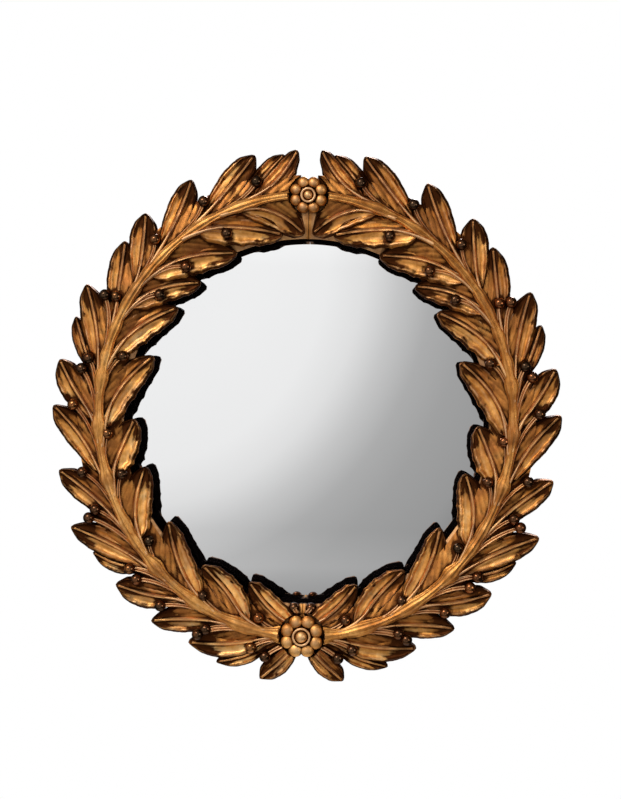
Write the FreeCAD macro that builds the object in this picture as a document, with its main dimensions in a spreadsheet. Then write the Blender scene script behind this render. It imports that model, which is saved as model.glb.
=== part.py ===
"""Round convex mirror in a laurel-wreath frame, with the hardware that hangs it on a wall.

Millimetres. +Z is up, the mirror looks along -Y and the wall is the plane Y = 0.
The origin is where the mirror's axis meets the wall.

Every piece is drawn on a bench of its own: x to the viewer's right, y up and z from the
wall towards the viewer. Its placement stands it up and pushes it off the wall.
"""
import FreeCAD, Part
import Sketcher
import math
import os

Vector = FreeCAD.Vector
UP_FROM_BENCH = FreeCAD.Rotation(Vector(1, 0, 0), 90)

doc = FreeCAD.newDocument("ConvexMirror")
sheet = doc.addObject("Spreadsheet::Sheet", "Sizes")


# ---------------------------------------------------------------- driving sizes

SIZES = [
    # carrier ring: the black wooden ring that everything is fixed to
    ("standoff", 5.0, "wall to the back of the carrier ring, the height of the bumpers"),
    ("carrier_depth", 21.0, "carrier ring, back face to front face"),
    ("sight_radius", 187.0, "opening that the glass shows through"),
    ("carrier_wall", 28.5, "wood between the rebate and the outside of the ring"),
    ("lip_thickness", 6.0, "lip in front of the glass"),
    # glass and what holds it in
    ("glass_cover", 8.0, "rim of the glass behind the lip"),
    ("rebate_clearance", 2.5, "rim of the glass to the wall of the rebate"),
    ("glass_bulge", 24.0, "height of the glass over its rim"),
    ("glass_thickness", 3.0, "thickness of the glass"),
    ("seat_gap", 0.2, "play between pieces that are laid against each other"),
    ("board_thickness", 4.0, "thickness of the backboard"),
    ("board_clearance", 0.8, "backboard to the wall of the rebate"),
    ("block_width", 22.0, "packing block, along the rim"),
    ("block_reach", 13.0, "packing block, towards the middle"),
    # wreath: the oval that both stems follow and the castings on it
    ("stem_inset", 14.0, "stem inside the outside of the carrier, at the sides"),
    ("stem_stretch", 13.5, "how much taller than wide the stems' oval is, by half"),
    ("stem_rise", 6.3, "middle of the oval over the middle of the glass"),
    ("stem_width", 11.0, "width of a stem at its foot"),
    ("stem_crown", 5.0, "width of a stem at its crown"),
    ("stem_shoulder", 15.0, "height of a stem's shoulder"),
    ("stem_height", 21.0, "height of a stem's crown"),
    ("plate_thickness", 4.0, "flat plate that a branch is cast on"),
    ("plate_overhang", 2.0, "that plate beyond the outside of the carrier"),
    ("bed_height", 11.0, "height of the bed that the leaves rise from"),
    ("bed_reach", 20.0, "bed to the middle of the stem, on both sides"),
    ("seam_gap", 0.6, "gap where the branches meet"),
    ("leaf_root", 17.5, "height of a midrib where it leaves the stem"),
    ("leaf_end", 10.5, "height of a midrib at the tip"),
    ("leaf_hollow", 2.4, "depth of a leaf's hollows under its midrib"),
    ("leaf_margin", 1.5, "rise of a leaf's edges over its hollows"),
    ("berry_radius", 5.9, "radius of a berry"),
    ("berry_height", 21.5, "height of a berry's top"),
    ("berry_foot", 1.0, "height that berries and their stalks rise from"),
    ("stalk_width", 3.4, "width of a berry's stalk"),
    ("stalk_height", 18.5, "height of a stalk where it leaves the stem"),
    ("stalk_fall", 3.0, "how much lower a stalk is at its berry"),
    # rosettes
    ("top_rosette_radius", 19.8, "top rosette, over its petals"),
    ("top_hub_radius", 7.9, "ring in the middle of the top rosette"),
    ("bottom_rosette_radius", 22.9, "bottom rosette, over its petals"),
    ("bottom_hub_radius", 9.6, "ring in the middle of the bottom rosette"),
    ("rosette_height", 17.5, "petals over the plate"),
    ("petal_relief", 3.5, "petals over the hollows between them"),
    ("hub_height", 20.5, "ring over the plate"),
    ("hub_wall", 2.4, "thickness of that ring"),
    ("bead_height", 22.5, "bead in the middle over the plate"),
    ("rosette_gap", 0.4, "rosette to the branches round it"),
    # turn buttons
    ("button_length", 30.0, "turn button, end to end"),
    ("button_width", 9.0, "width of a turn button"),
    ("button_thickness", 1.6, "thickness of a turn button"),
    ("button_heel", 5.5, "turn button behind its screw"),
    ("button_corner", 2.2, "corners taken off a turn button"),
    ("button_hole", 2.05, "radius of a turn button's hole"),
    ("running_gap", 0.1, "play over and under a turn button"),
    # screws
    ("screw_radius", 2.0, "shank of a screw"),
    ("screw_depth", 11.0, "shank in the wood"),
    ("screw_head_radius", 3.8, "head of a screw"),
    ("screw_head_height", 1.4, "height of that head"),
    ("pilot_gap", 0.05, "screw to the wall of its pilot hole"),
    # hangers
    ("hanger_inset", 10.3, "screw of a hanger's strap to the wall of the rebate"),
    ("strap_width", 12.0, "width of a hanger's strap"),
    ("strap_length", 21.0, "strap under its hinge"),
    ("strap_thickness", 1.5, "thickness of a strap"),
    ("strap_hole_drop", 14.0, "hinge to the strap's screw"),
    ("wire_size", 2.0, "square wire that a hanger's ring is bent from"),
    ("eye_play", 0.07, "corner of the wire to the eye that it turns in"),
    ("eye_wall", 0.8, "strap where it is folded round that eye"),
    ("ring_half_width", 9.5, "half of a hanger ring's width"),
    ("ring_straight", 4.5, "ring from its hinge to where it turns round"),
    # bumpers
    ("bumper_width", 14.0, "side of a bumper, which is square"),
]


class Size:
    """A length, and the expression that ties it to the sheet."""

    def __init__(self, value, text):
        self.value = value
        self.text = text

    def joined(self, sign, other, value):
        text = other.text if isinstance(other, Size) else repr(float(other))
        return Size(value, "(%s %s %s)" % (self.text, sign, text))

    def __add__(self, other):
        return self.joined("+", other, self.value + number(other))

    def __sub__(self, other):
        return self.joined("-", other, self.value - number(other))

    def __mul__(self, other):
        return self.joined("*", other, self.value * number(other))

    def __truediv__(self, other):
        return self.joined("/", other, self.value / number(other))

    def __neg__(self):
        return Size(-self.value, "(0 - %s)" % self.text)

    def root(self):
        return Size(math.sqrt(self.value), "sqrt(%s)" % self.text)


def number(length):
    return length.value if isinstance(length, Size) else float(length)


class Sizes:
    """The sheet's named values, each as a Size."""


def fill_sheet():
    named = Sizes()
    for row, (name, value, meaning) in enumerate(SIZES, start=1):
        sheet.set("A%d" % row, meaning)
        sheet.set("B%d" % row, repr(value))
        sheet.setAlias("B%d" % row, name)
    doc.recompute()
    for name, _, _ in SIZES:
        setattr(named, name, Size(float(sheet.get(name)), "Sizes." + name))
    return named


size = fill_sheet()
NOTHING = Size(0.0, "0")

# Radii that follow from the opening.
glass_radius = size.sight_radius + size.glass_cover
rebate_radius = glass_radius + size.rebate_clearance
carrier_radius = rebate_radius + size.carrier_wall
plate_radius = carrier_radius + size.plate_overhang
stem_half_width = carrier_radius - size.stem_inset
stem_half_height = stem_half_width + size.stem_stretch
screw_circle = (rebate_radius + carrier_radius) / 2
hanger_circle = rebate_radius + size.hanger_inset

# Heights over the wall, and the glass's sphere.
carrier_front = size.standoff + size.carrier_depth
lip_back = carrier_front - size.lip_thickness
glass_sphere = (glass_radius * glass_radius / size.glass_bulge + size.glass_bulge) / 2
at_sight = (glass_sphere * glass_sphere - size.sight_radius * size.sight_radius).root()
glass_middle = lip_back - size.seat_gap - at_sight
inner_sphere = glass_sphere - size.glass_thickness
inner_rim = (inner_sphere * inner_sphere - glass_radius * glass_radius).root()
board_front = size.standoff + size.board_thickness
block_height = glass_middle + inner_rim - size.seat_gap - board_front
plate_front = carrier_front + size.plate_thickness
eye_bore = size.wire_size * math.sqrt(0.5) + size.eye_play
eye_radius = eye_bore + size.eye_wall


# ---------------------------------------------------------------- drawing helpers

def bind(thing, path, length):
    """Tie one property to the sheet."""
    thing.setExpression(path, length.text if isinstance(length, Size) else repr(float(length)))


def stand(thing, off_wall, right=None, up=None, turn=0.0):
    """Stand a piece up with its bench face the given length off the wall."""
    spin = FreeCAD.Rotation(Vector(0, 0, 1), turn)
    thing.Placement = FreeCAD.Placement(Vector(), UP_FROM_BENCH.multiply(spin))
    bind(thing, "Placement.Base.y", -off_wall)
    if right is not None:
        bind(thing, "Placement.Base.x", right)
    if up is not None:
        bind(thing, "Placement.Base.z", up)
    return thing


def new_body(name):
    body = doc.addObject("PartDesign::Body", name)
    body.Label = name
    return body


def plane(body, role):
    return next(f for f in body.Origin.OriginFeatures if f.Role == role)


def new_sketch(body, role="XY_Plane", height=None):
    """A sketch on one of the body's own planes, lifted off it if a height is given."""
    sketch = body.newObject("Sketcher::SketchObject", body.Name + "_sketch")
    sketch.AttachmentSupport = [(plane(body, role), "")]
    sketch.MapMode = "FlatFace"
    if height is not None:
        bind(sketch, "AttachmentOffset.Base.z", height)
    return sketch


def hold(sketch, kind, geometry, point, length):
    """Measure a point of the sketch from its origin, along x or y."""
    if number(length) == 0:
        axis = -2 if kind == "DistanceX" else -1
        sketch.addConstraint(Sketcher.Constraint("PointOnObject", geometry, point, axis))
        return
    index = sketch.addConstraint(
        Sketcher.Constraint(kind, -1, 1, geometry, point, number(length)))
    bind(sketch, "Constraints[%d]" % index, length)


def circle(sketch, radius, x=0.0, y=0.0):
    centre = Vector(number(x), number(y), 0)
    index = sketch.addGeometry(Part.Circle(centre, Vector(0, 0, 1), number(radius)))
    if number(x) == 0 and number(y) == 0:
        sketch.addConstraint(Sketcher.Constraint("Coincident", index, 3, -1, 1))
    else:
        hold(sketch, "DistanceX", index, 3, x)
        hold(sketch, "DistanceY", index, 3, y)
    last = sketch.addConstraint(Sketcher.Constraint("Radius", index, number(radius)))
    bind(sketch, "Constraints[%d]" % last, radius)
    return index


def polygon(sketch, corners):
    """A closed outline of straight lines through (x, y) corners."""
    points = [Vector(number(x), number(y), 0) for x, y in corners]
    lines = []
    for start, end in zip(points, points[1:] + points[:1]):
        lines.append(sketch.addGeometry(Part.LineSegment(start, end)))
    for line, following in zip(lines, lines[1:] + lines[:1]):
        sketch.addConstraint(Sketcher.Constraint("Coincident", line, 2, following, 1))
    for line, (x, y) in zip(lines, corners):
        hold(sketch, "DistanceX", line, 1, x)
        hold(sketch, "DistanceY", line, 1, y)
    return lines


def feature(body, kind, sketch):
    made = body.newObject("PartDesign::" + kind, body.Name + "_" + kind.lower())
    made.Profile = sketch
    sketch.Visibility = False
    return made


def pad(body, sketch, length):
    made = feature(body, "Pad", sketch)
    bind(made, "Length", length)
    return made


def pocket(body, sketch, length):
    """Cut from the sketch's plane upwards."""
    made = feature(body, "Pocket", sketch)
    made.Reversed = True
    bind(made, "Length", length)
    return made


def revolution(body, sketch):
    made = feature(body, "Revolution", sketch)
    made.ReferenceAxis = (sketch, ["V_Axis"])
    made.Angle = 360
    return made


def polar(body, pattern_of, copies):
    made = body.newObject("PartDesign::PolarPattern", body.Name + "_pattern")
    made.Originals = [pattern_of]
    made.Axis = (plane(body, "Z_Axis"), [""])
    made.Angle = 360
    made.Occurrences = copies
    body.Tip = made
    return made


# ---------------------------------------------------------------- carrier, glass and board

BUTTON_ANGLES = {"top": 90.0, "lower_left": 210.0, "lower_right": 330.0}
STRAP_ANGLES = {"left": 156.0, "right": 24.0}
BUMPER_ANGLES = {"left": 235.0, "right": 305.0}
BLOCK_COUNT = 8


def round_circle(radius, angle):
    """A place on a circle round the middle of the glass."""
    return radius * math.cos(math.radians(angle)), radius * math.sin(math.radians(angle))


def make_carrier():
    """Turned ring with a rebate behind its lip, bored for the screws in its back."""
    body = new_body("carrier_ring")
    lip = size.carrier_depth - size.lip_thickness
    section = new_sketch(body, "XZ_Plane")
    polygon(section, [
        (rebate_radius, 0), (carrier_radius, 0),
        (carrier_radius, size.carrier_depth), (size.sight_radius, size.carrier_depth),
        (size.sight_radius, lip), (rebate_radius, lip),
    ])
    revolution(body, section)
    doc.recompute()
    hole = size.screw_radius + size.pilot_gap
    depth = size.screw_depth + size.pilot_gap
    straps = new_sketch(body)
    for angle in STRAP_ANGLES.values():
        circle(straps, hole, *round_circle(hanger_circle, angle))
    pocket(body, straps, depth)
    buttons = new_sketch(body)
    circle(buttons, hole, 0, screw_circle)
    polar(body, pocket(body, buttons, depth), len(BUTTON_ANGLES))
    return stand(body, size.standoff)


def make_glass():
    """A shell between two spheres, trimmed round. The spheres' poles lie off the glass."""
    poles_sideways = FreeCAD.Rotation(Vector(0, 1, 0), 90)
    balls = []
    for name, radius in (("glass_front", glass_sphere), ("glass_back", inner_sphere)):
        ball = doc.addObject("Part::Sphere", name)
        ball.Placement = FreeCAD.Placement(Vector(), poles_sideways)
        bind(ball, "Radius", radius)
        balls.append(ball)
    shell = doc.addObject("Part::Cut", "glass_shell")
    shell.Base, shell.Tool = balls
    trim = doc.addObject("Part::Cylinder", "glass_trim")
    bind(trim, "Radius", glass_radius)
    bind(trim, "Height", glass_sphere + size.glass_bulge)
    glass = doc.addObject("Part::Common", "convex_glass")
    glass.Base, glass.Tool = shell, trim
    return stand(glass, glass_middle)


def make_backboard():
    body = new_body("backboard")
    outline = new_sketch(body)
    circle(outline, rebate_radius - size.board_clearance)
    pad(body, outline, size.board_thickness)
    return stand(body, size.standoff)


def make_packing_blocks():
    """Blocks that carry the rim of the glass on the backboard."""
    blocks = []
    for index in range(BLOCK_COUNT):
        block = doc.addObject("Part::Box", "packing_block")
        turn = 360.0 * (index + 0.5) / BLOCK_COUNT
        spin = FreeCAD.Rotation(Vector(0, 0, 1), turn)
        block.Placement = FreeCAD.Placement(Vector(), spin)
        bind(block, "Length", size.block_reach)
        bind(block, "Width", size.block_width)
        bind(block, "Height", block_height)
        inner = glass_radius - size.block_reach
        along, across = math.cos(math.radians(turn)), math.sin(math.radians(turn))
        bind(block, "Placement.Base.x", inner * along + size.block_width * (across / 2))
        bind(block, "Placement.Base.y", inner * across - size.block_width * (along / 2))
        blocks.append(block)
    group = doc.addObject("Part::Compound", "packing_blocks")
    group.Links = blocks
    return stand(group, board_front)


# ---------------------------------------------------------------- wreath

# Leaves and berries of the left branch. A place on it is a station, in degrees round the
# oval from its foot, and an offset in millimetres from the stem, outwards.
# Each leaf: root station and offset, tip station and offset, width, bend of its middle to
# the left of the way it grows, and how much lower it lies than the leaves beside it.
# The wreath's plan grows with its oval; its heights are sizes of their own.
OUTER_LEAVES = [
    (0.8, 6.0, 9.4, 49.5, 23.0, 2.0, 0.0),
    (6.9, 3.0, 19.9, 46.7, 19.5, 5.0, 2.5),
    (6.0, 0.0, 27.6, 40.6, 30.0, 5.0, 0.0),
    (19.3, 2.0, 37.4, 44.6, 28.0, -3.2, 0.0),
    (33.6, 3.0, 48.8, 44.5, 30.0, 3.5, 0.0),
    (46.0, 4.0, 57.5, 45.7, 19.5, 5.0, 2.5),
    (46.2, 4.0, 64.7, 53.5, 29.5, -2.8, 0.0),
    (60.3, 4.0, 77.1, 47.5, 28.5, -2.2, 0.0),
    (73.2, 4.0, 91.2, 47.5, 30.5, -5.0, 0.0),
    (87.6, 2.0, 101.2, 46.5, 30.5, 2.2, 0.0),
    (99.0, 6.0, 111.2, 43.0, 20.5, 1.5, 2.5),
    (100.4, 3.0, 118.7, 46.1, 29.5, -3.3, 0.0),
    (113.4, 3.0, 131.6, 38.5, 28.0, 0.0, 0.0),
    (124.6, 0.0, 139.3, 43.5, 30.5, -1.5, 0.0),
    (135.7, 5.0, 152.1, 44.5, 28.0, -2.2, 0.0),
    (150.5, 5.0, 167.4, 45.5, 28.5, -0.5, 0.0),
    (162.0, 4.0, 174.1, 41.5, 21.5, 0.4, 2.5),
    (165.3, 3.0, 177.2, 45.0, 21.5, -4.5, 0.0),
]
INNER_LEAVES = [
    (2.5, -9.0, 19.0, -43.0, 24.5, 4.0, 0.0),
    (15.9, -3.0, 35.5, -33.5, 27.5, -3.6, 0.0),
    (30.9, -3.0, 53.4, -38.0, 27.5, 5.0, 0.0),
    (54.9, -3.0, 72.6, -39.9, 30.0, 5.5, 0.0),
    (72.9, -4.0, 87.9, -35.7, 31.0, 1.0, 0.0),
    (86.5, -3.0, 108.9, -45.5, 30.5, 7.5, 0.0),
    (105.6, -4.0, 127.0, -45.5, 30.0, 6.5, 0.0),
    (120.3, -3.0, 138.6, -46.5, 28.0, 6.0, 0.0),
    (130.4, -3.0, 154.5, -42.5, 33.5, 7.0, 0.0),
    (148.1, -2.0, 171.5, -38.5, 33.5, 4.0, 0.0),
    (160.4, 0.0, 176.8, -39.5, 25.5, 8.5, 0.0),
]
BERRIES = [
    (9.1, 25.4), (13.0, 19.5), (25.4, 19.1), (26.6, 28.0), (38.0, 25.7), (46.6, 23.8),
    (49.6, 22.3), (65.0, 32.0), (66.2, 22.5), (75.6, 23.6), (91.7, 26.7), (100.4, 22.0),
    (103.2, 17.1), (118.8, 24.2), (119.9, 13.3), (137.1, 17.1), (152.5, 19.4),
    (166.7, 19.3), (2.7, -27.9), (12.9, -11.9), (30.3, -9.4), (52.2, -11.5),
    (72.5, -15.4), (84.3, -8.0), (106.1, -16.8), (127.0, -23.3), (138.5, -24.6),
    (154.4, -20.0),
]
TABLE_HALF_WIDTH = 212.0     # half width of the oval that the tables' millimetres belong to
LEAF_STATIONS = (0.0, 0.17, 0.55, 0.88, 1.0)    # corners of a leaf's edge, root to tip
LEAF_FULLNESS = 0.5      # under 1, a blade is broad and blunt; 1 is a plain half wave
LEAF_FORWARD = 1.35      # over 1, a blade is broadest past its middle
RIB_LEAN = 1.6           # a midrib's start beside the root, as a share of the blade's bend
RIB_OVERRUN = 0.25       # a leaf's section runs on by this share of the midrib at both ends
BERRY_SIDES = 6
BERRY_SHOULDER = 0.6     # height of a berry's drawn-in top, as a share of its radius
BERRY_CROWN = 0.5        # radius of its crown, as a share of its radius
STEM_STATIONS = range(2, 179, 8)
STALK_TURN = 0.36        # degrees that a stalk runs on for each millimetre it leaves the stem
PETAL_COUNT = 8
PETAL_SIDES = 8
PETAL_PLACE = 0.7        # middle of a petal, as a share of the rosette's radius
HUB_SIDES = 12
BEAD_SHARE = 0.7         # bead in the hub, as a share of the hub's opening


growth = stem_half_width.value / TABLE_HALF_WIDTH


def beside_stem(station, out, height=0.0):
    """A place so many millimetres outwards from the middle of the left stem."""
    angle = math.radians(station)
    x = -(stem_half_width.value + out) * math.sin(angle)
    y = size.stem_rise.value - (stem_half_height.value + out) * math.cos(angle)
    return Vector(x, y, height)


def on_oval(station, offset):
    """A place as the tables give it."""
    return beside_stem(station, offset * growth)


def solid_between(corners, push):
    """The closed outline through the corners, pushed along a vector."""
    return Part.Face(Part.makePolygon(corners + corners[:1])).extrude(push)


def make_leaf(root, tip, width, bend, drop):
    """A blunt blade: its outline cut upright, under a midrib with a hollow on each side."""
    width, bend = width * growth, bend * growth
    grow = tip - root
    left = Vector(-grow.y, grow.x, 0).normalize()
    edges = []
    for side, stations in ((1, LEAF_STATIONS[:-1]), (-1, LEAF_STATIONS[:0:-1])):
        for part in stations:
            fullness = math.sin(math.pi * part ** LEAF_FORWARD) ** LEAF_FULLNESS
            reach = bend * math.sin(math.pi * part) + side * width / 2 * fullness
            edges.append(root + grow * part + left * reach)
    blank = solid_between(edges, Vector(0, 0, size.stem_height.value))

    # The midrib runs straight from the tip back through the blade. On both sides the face
    # falls to a hollow halfway to the edge, and rises from there past the edge.
    start = root + left * (RIB_LEAN * bend)
    rib = tip - start
    across = Vector(-rib.y, rib.x, 0).normalize()
    slope = size.leaf_end.value - size.leaf_root.value
    crest = size.leaf_root.value - drop - RIB_OVERRUN * slope
    hollow = crest - size.leaf_hollow.value
    groove = width / 4
    spread = 2 * width
    margin = hollow + size.leaf_margin.value * (spread - groove) / groove
    section = [(-spread, -spread), (-spread, margin), (-groove, hollow), (0.0, crest),
               (groove, hollow), (spread, margin), (spread, -spread)]
    foot = start - rib * RIB_OVERRUN
    corners = [foot + across * side + Vector(0, 0, height) for side, height in section]
    push = (rib + Vector(0, 0, slope)) * (1 + 2 * RIB_OVERRUN)
    return blank.common(solid_between(corners, push))


def band(reach, height):
    """Corners of the strip that reaches so far on both sides of the stem's middle."""
    outside = [beside_stem(station, reach, height) for station in STEM_STATIONS]
    inside = [beside_stem(station, -reach, height) for station in STEM_STATIONS]
    return outside + inside[::-1]


def make_stem():
    """The stem's band of the oval, drawn in from its shoulder to its crown."""
    levels = [(0.0, size.stem_width), (size.stem_shoulder.value, size.stem_width),
              (size.stem_height.value, size.stem_crown)]
    wires = []
    for height, width in levels:
        corners = band(width.value / 2, height)
        wires.append(Part.makePolygon(corners + corners[:1]))
    lower = Part.makeLoft(wires[:2], True, True)
    upper = Part.makeLoft(wires[1:], True, True)
    return lower.fuse(upper)


def make_berry(centre):
    """A many-sided bead that rises through the leaves, drawn in at its top."""
    top = size.berry_height.value
    shoulder = top - BERRY_SHOULDER * size.berry_radius.value
    rings = []
    for share, height in ((1.0, size.berry_foot.value), (1.0, shoulder), (BERRY_CROWN, top)):
        corners = []
        for side in range(BERRY_SIDES):
            angle = 2 * math.pi * (side + 0.5) / BERRY_SIDES
            reach = share * size.berry_radius.value
            corners.append(centre + Vector(reach * math.cos(angle), reach * math.sin(angle), height))
        rings.append(corners + corners[:1])
    faces = [Part.Face(Part.makePolygon(rings[0])), Part.Face(Part.makePolygon(rings[-1]))]
    for low, high in zip(rings, rings[1:]):
        for side in range(BERRY_SIDES):
            around = [low[side], low[side + 1], high[side + 1], high[side], low[side]]
            faces.append(Part.Face(Part.makePolygon(around)))
    return Part.makeSolid(Part.makeShell(faces))


def make_stalk(station, offset):
    """A strip from the stem out to a berry, sinking as it goes."""
    start = on_oval(station - STALK_TURN * abs(offset), 0)
    run = on_oval(station, offset) - start
    across = Vector(-run.y, run.x, 0).normalize() * (size.stalk_width.value / 2)
    high = Vector(0, 0, size.stalk_height.value)
    low = Vector(0, 0, size.berry_foot.value + size.stalk_fall.value)
    section = [start - across + low, start + across + low, start + across + high,
               start - across + high]
    return solid_between(section, run - Vector(0, 0, size.stalk_fall.value))


def make_left_branch():
    """Plate, stem, leaves and berries of the left branch, cast in one."""
    over = 2 * stem_half_height.value
    plate = Part.makeCylinder(plate_radius.value, size.plate_thickness.value)
    plate = plate.cut(Part.makeCylinder(size.sight_radius.value, size.plate_thickness.value))
    bed = solid_between(band(size.bed_reach.value, 0.0), Vector(0, 0, size.bed_height.value))
    grown = [make_stem(), bed]
    for leaf in OUTER_LEAVES + INNER_LEAVES:
        grown.append(make_leaf(on_oval(*leaf[0:2]), on_oval(*leaf[2:4]), *leaf[4:]))
    for berry in BERRIES:
        grown.append(make_stalk(*berry))
        grown.append(make_berry(on_oval(*berry)))
    branch = plate.multiFuse(grown)
    rosettes = [(size.top_rosette_radius, stem_half_height.value),
                (size.bottom_rosette_radius, -stem_half_height.value)]
    for radius, up in rosettes:
        middle = Vector(0, size.stem_rise.value + up, size.plate_thickness.value)
        clearing = Part.makeCylinder(radius.value + size.rosette_gap.value, over, middle)
        branch = branch.cut(clearing)
    corner = Vector(-over - size.seam_gap.value / 2, -over, -size.plate_thickness.value)
    return branch.common(Part.makeBox(over, 2 * over, over, corner)).removeSplitter()


def make_branches():
    left = make_left_branch()
    shapes = {"left_branch": left, "right_branch": left.mirror(Vector(), Vector(1, 0, 0))}
    made = []
    for name, shape in shapes.items():
        branch = doc.addObject("Part::Feature", name)
        branch.Shape = shape
        made.append(stand(branch, carrier_front))
    return made


def regular(sides, radius, x=0.0):
    """Corners of a regular polygon, a corner pointing outwards, set off along x."""
    corners = []
    for side in range(sides):
        angle = 2 * math.pi * side / sides
        corners.append((radius * math.cos(angle) + x, radius * math.sin(angle)))
    return corners


def make_rosette(name, radius, hub, up):
    """Eight blunt petals round a ring with a bead in it, flat behind."""
    body = new_body(name)
    petal_circle = radius * PETAL_PLACE
    for sides, reach, height in (
            (PETAL_COUNT, petal_circle, size.rosette_height - size.petal_relief),
            (HUB_SIDES, hub, size.hub_height)):
        outline = new_sketch(body)
        polygon(outline, regular(sides, reach))
        pad(body, outline, height)
    doc.recompute()
    petal = new_sketch(body)
    polygon(petal, regular(PETAL_SIDES, radius - petal_circle, petal_circle))
    polar(body, pad(body, petal, size.rosette_height), PETAL_COUNT)
    doc.recompute()
    dish = new_sketch(body, height=size.rosette_height)
    opening = hub - size.hub_wall
    polygon(dish, regular(HUB_SIDES, opening))
    pocket(body, dish, size.hub_height)
    bead = new_sketch(body)
    polygon(bead, regular(HUB_SIDES, opening * BEAD_SHARE))
    pad(body, bead, size.bead_height)
    return stand(body, plate_front, up=up)


# ---------------------------------------------------------------- hardware in the back

BOW_STEPS = 8        # straight lengths in the bow of a hanger ring
SHANK_SIDES = 12
HEAD_SIDES = 16
EYE_SIDES = 8


def make_screws(name, places, off_wall):
    """Screws with their heads towards the wall, as one group."""
    screws = []
    for x, y in places:
        pieces = []
        for sides, radius, length, foot in (
                (SHANK_SIDES, size.screw_radius, size.screw_depth + size.standoff - off_wall,
                 NOTHING),
                (HEAD_SIDES, size.screw_head_radius, size.screw_head_height,
                 -size.screw_head_height)):
            piece = doc.addObject("Part::Prism", name + "_turned")
            piece.Polygon = sides
            bind(piece, "Circumradius", radius)
            bind(piece, "Height", length)
            bind(piece, "Placement.Base.x", x)
            bind(piece, "Placement.Base.y", y)
            bind(piece, "Placement.Base.z", foot)
            pieces.append(piece)
        screw = doc.addObject("Part::Fuse", name + "_screw")
        screw.Base, screw.Tool = pieces
        screws.append(screw)
    group = doc.addObject("Part::Compound", name)
    group.Links = screws
    return stand(group, off_wall)


def make_turn_buttons():
    """Bars that turn on screws in the carrier and hold the backboard in."""
    made = []
    tip = size.button_length - size.button_heel
    half = size.button_width / 2
    cut = size.button_corner
    face = size.standoff - size.running_gap - size.button_thickness
    for name, angle in BUTTON_ANGLES.items():
        body = new_body("turn_button_" + name)
        outline = new_sketch(body)
        polygon(outline, [
            (cut - tip, -half), (size.button_heel - cut, -half),
            (size.button_heel, cut - half), (size.button_heel, half - cut),
            (size.button_heel - cut, half), (cut - tip, half),
            (-tip, half - cut), (-tip, cut - half),
        ])
        circle(outline, size.button_hole)
        pad(body, outline, size.button_thickness)
        made.append(stand(body, face, *round_circle(screw_circle, angle), angle))
    return made


def hinge_place(side):
    """Where a hanger's ring turns: over the screw of its strap."""
    x, y = round_circle(hanger_circle, STRAP_ANGLES[side])
    return x, y + size.strap_hole_drop


def make_strap(name, side):
    """A strip folded round the hinge of its ring: a plate below, an eye above."""
    body = new_body(name)
    profile = new_sketch(body, "YZ_Plane")
    bind(profile, "AttachmentOffset.Base.z", size.strap_width / -2)
    flat = eye_radius * math.tan(math.pi / EYE_SIDES)
    polygon(profile, [
        (-size.strap_length, 0), (-size.strap_length, -size.strap_thickness),
        (-eye_radius, -size.strap_thickness), (-eye_radius, -eye_radius - flat),
        (-flat, eye_radius * -2), (flat, eye_radius * -2),
        (eye_radius, -eye_radius - flat), (eye_radius, flat - eye_radius), (flat, 0),
    ])
    bore_corner = eye_bore / math.cos(math.pi / EYE_SIDES)
    polygon(profile, [(x, y - eye_radius) for x, y in regular(EYE_SIDES, bore_corner)])
    pad(body, profile, size.strap_width)
    doc.recompute()
    hole = new_sketch(body, height=-size.strap_thickness)
    circle(hole, size.screw_radius + size.pilot_gap, 0, -size.strap_hole_drop)
    pocket(body, hole, size.strap_thickness)
    return stand(body, size.standoff, *hinge_place(side))


def make_hanger_ring(name, side):
    """D-shaped ring of square wire, standing up from its hinge."""
    body = new_body(name)
    outline = new_sketch(body, height=-size.wire_size / 2)
    low = size.wire_size / 2
    for half_width, foot in ((size.ring_half_width, -low),
                             (size.ring_half_width - size.wire_size, low)):
        bow = []
        for step in range(BOW_STEPS + 1):
            angle = math.pi * step / BOW_STEPS
            bow.append((half_width * math.cos(angle),
                        half_width * math.sin(angle) + size.ring_straight))
        polygon(outline, [(-half_width, foot), (half_width, foot)] + bow)
    pad(body, outline, size.wire_size)
    return stand(body, size.standoff - eye_radius, *hinge_place(side))


def make_bumper(name, side):
    """Soft pad that keeps the frame off the wall."""
    body = new_body(name)
    outline = new_sketch(body)
    half = size.bumper_width / 2
    polygon(outline, [(-half, -half), (half, -half), (half, half), (-half, half)])
    pad(body, outline, size.standoff)
    return stand(body, NOTHING, *round_circle(screw_circle, BUMPER_ANGLES[side]))


# ---------------------------------------------------------------- assembly

def make_all():
    stem_top = size.stem_rise + stem_half_height
    stem_foot = size.stem_rise - stem_half_height
    button_places = [round_circle(screw_circle, angle) for angle in BUTTON_ANGLES.values()]
    strap_places = [round_circle(hanger_circle, angle) for angle in STRAP_ANGLES.values()]
    under_button = size.standoff - size.button_thickness - size.running_gap * 2
    under_strap = size.standoff - size.strap_thickness
    pieces = [make_carrier(), make_glass(), make_packing_blocks(), make_backboard()]
    pieces += make_branches()
    pieces.append(make_rosette("top_rosette", size.top_rosette_radius, size.top_hub_radius,
                               stem_top))
    pieces.append(make_rosette("bottom_rosette", size.bottom_rosette_radius,
                               size.bottom_hub_radius, stem_foot))
    pieces += make_turn_buttons()
    pieces.append(make_screws("turn_button_screws", button_places, under_button))
    pieces.append(make_screws("hanger_screws", strap_places, under_strap))
    for side in ("left", "right"):
        pieces.append(make_strap("hanger_strap_" + side, side))
        pieces.append(make_hanger_ring("hanger_ring_" + side, side))
        pieces.append(make_bumper("bumper_" + side, side))
    return pieces


def check(pieces):
    for thing in doc.Objects:
        if "Invalid" in thing.State or "Error" in thing.State:
            raise RuntimeError("%s did not compute: %s" % (thing.Name, thing.State))
    for piece in pieces:
        if piece.Shape.isNull() or not piece.Shape.isValid():
            raise RuntimeError("%s has no sound shape" % piece.Label)


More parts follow.
